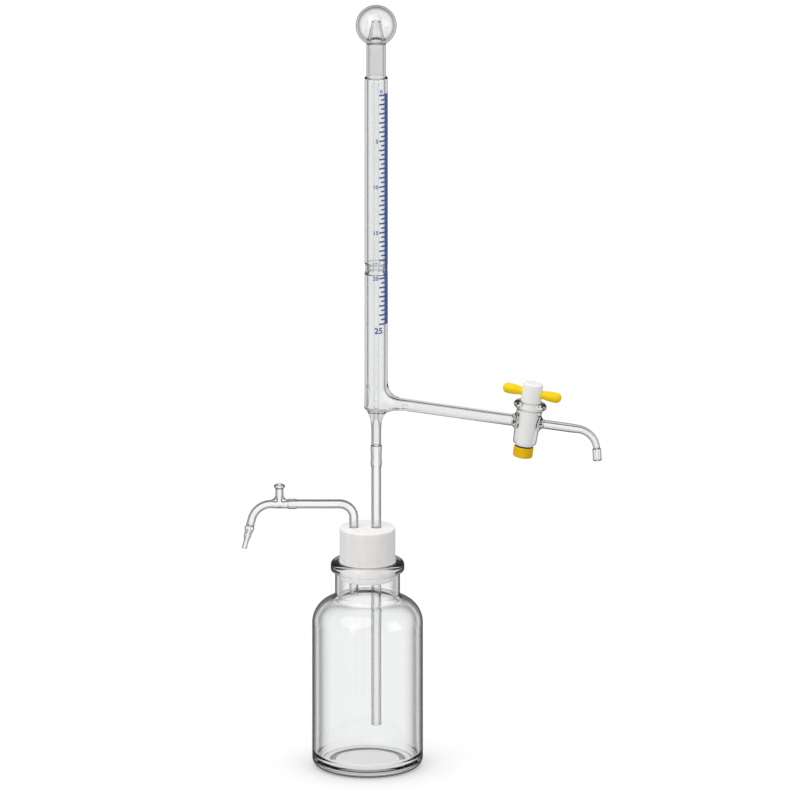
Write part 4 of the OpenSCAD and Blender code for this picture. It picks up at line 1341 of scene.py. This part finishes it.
def makeScale(s):
    tree, keys = makeTickTree()
    pitch = (s["zero"] - s["last"]) / s["steps"]
    common = {
        "Pitch": pitch * mm, "Radius": s["radius"] * mm, "Centre": buretteX * mm,
        "Thick": s["thick"] * mm, "Tall": s["tall"] * mm, "End Angle": frontAngle(s["lineAt"]),
        "Long Sweep": math.radians(s["lineAt"] - s["longFrom"]),
        "Short Sweep": math.radians(s["lineAt"] - s["shortFrom"]), "Enamel": blueEnamel,
    }
    above = int((s["zero"] - s["upperTo"]) // pitch) + 1
    passed = int((s["zero"] - s["lowerFrom"]) // pitch) + 1
    for name, first, count in (("upperTicks", 0, above), ("lowerTicks", passed, s["steps"] + 1 - passed)):
        top = (s["zero"] - first * pitch) * mm
        growTicks(name, tree, keys, {**common, "Count": count, "Top": top, "First Long": first})
    scaleBand("scaleLine", s, s["last"] - s["tall"] / 2, s["zero"] + s["tall"] / 2)


makeScale(scaleMarks)

scaleNumbers = {
    "tall": 3.0, "thick": 0.08, "radius": 9.06, "right": 10.5, "bold": 0.04,
    "fontSize": 1.42, "spacing": 1.05, "curveSteps": 4,   # font size for digits of height 1
    "strip": 0.35,                                        # width of the strips that bend round the tube
    "zeroRight": 33.0, "zeroLift": 1.6, "lastTall": 4.7, "lastRight": 32.0, "lastDrop": 7.6,
}


def flatDigits(name, text, tall, s):
    curve = bpy.data.curves.new(name, "FONT")
    curve.body = text
    curve.size = tall * mm * s["fontSize"]
    curve.resolution_u = s["curveSteps"]
    curve.offset = s["bold"] * tall * mm
    curve.space_character = s["spacing"]
    holder = bpy.data.objects.new(name, curve)
    scene.collection.objects.link(holder)
    mesh = bakedMesh(holder)
    bpy.data.objects.remove(holder)
    bpy.data.curves.remove(curve)
    return mesh


def makeNumber(value, right, base, tall, s):
    # digits cut in strips and laid round the tube, right edge at an angle from the front
    name = "scaleNumber%d" % value
    mesh = flatDigits(name, str(value), tall, s)
    work = bmesh.new()
    work.from_mesh(mesh)
    bmesh.ops.remove_doubles(work, verts=work.verts, dist=1e-7)
    xs = [v.co.x for v in work.verts]
    x, last = min(xs), max(xs)
    while x < last:
        x += s["strip"] * mm
        every = work.verts[:] + work.edges[:] + work.faces[:]
        bmesh.ops.bisect_plane(work, geom=every, plane_co=(x, 0, 0), plane_no=(1, 0, 0))
    top = bmesh.ops.extrude_face_region(work, geom=work.faces[:])
    for v in [g for g in top["geom"] if isinstance(g, bmesh.types.BMVert)]:
        v.co.z += s["thick"] * mm
    for v in work.verts:
        a = frontAngle(right) + (v.co.x - last) / (s["radius"] * mm)
        r = (s["radius"] - s["thick"] / 2) * mm + v.co.z
        v.co = Vector((buretteX * mm + r * math.cos(a), r * math.sin(a), base * mm + v.co.y))
    work.to_mesh(mesh)
    work.free()
    mesh.name = name
    mesh.materials.clear()
    mesh.materials.append(blueEnamel)
    piece = bpy.data.objects.new(name, mesh)
    scene.collection.objects.link(piece)
    settleEnamel(piece)


def makeNumbers(s, marks):
    pitch = (marks["zero"] - marks["last"]) / marks["steps"]
    makeNumber(0, s["zeroRight"], marks["zero"] + s["zeroLift"], s["tall"], s)
    for value in (5, 10, 15, 20):
        base = marks["zero"] - 2 * value * pitch - s["tall"] / 2
        makeNumber(value, s["right"], base, s["tall"], s)
    makeNumber(25, s["lastRight"], marks["last"] - s["lastDrop"], s["lastTall"], s)


makeNumbers(scaleNumbers, scaleMarks)
print("scale")
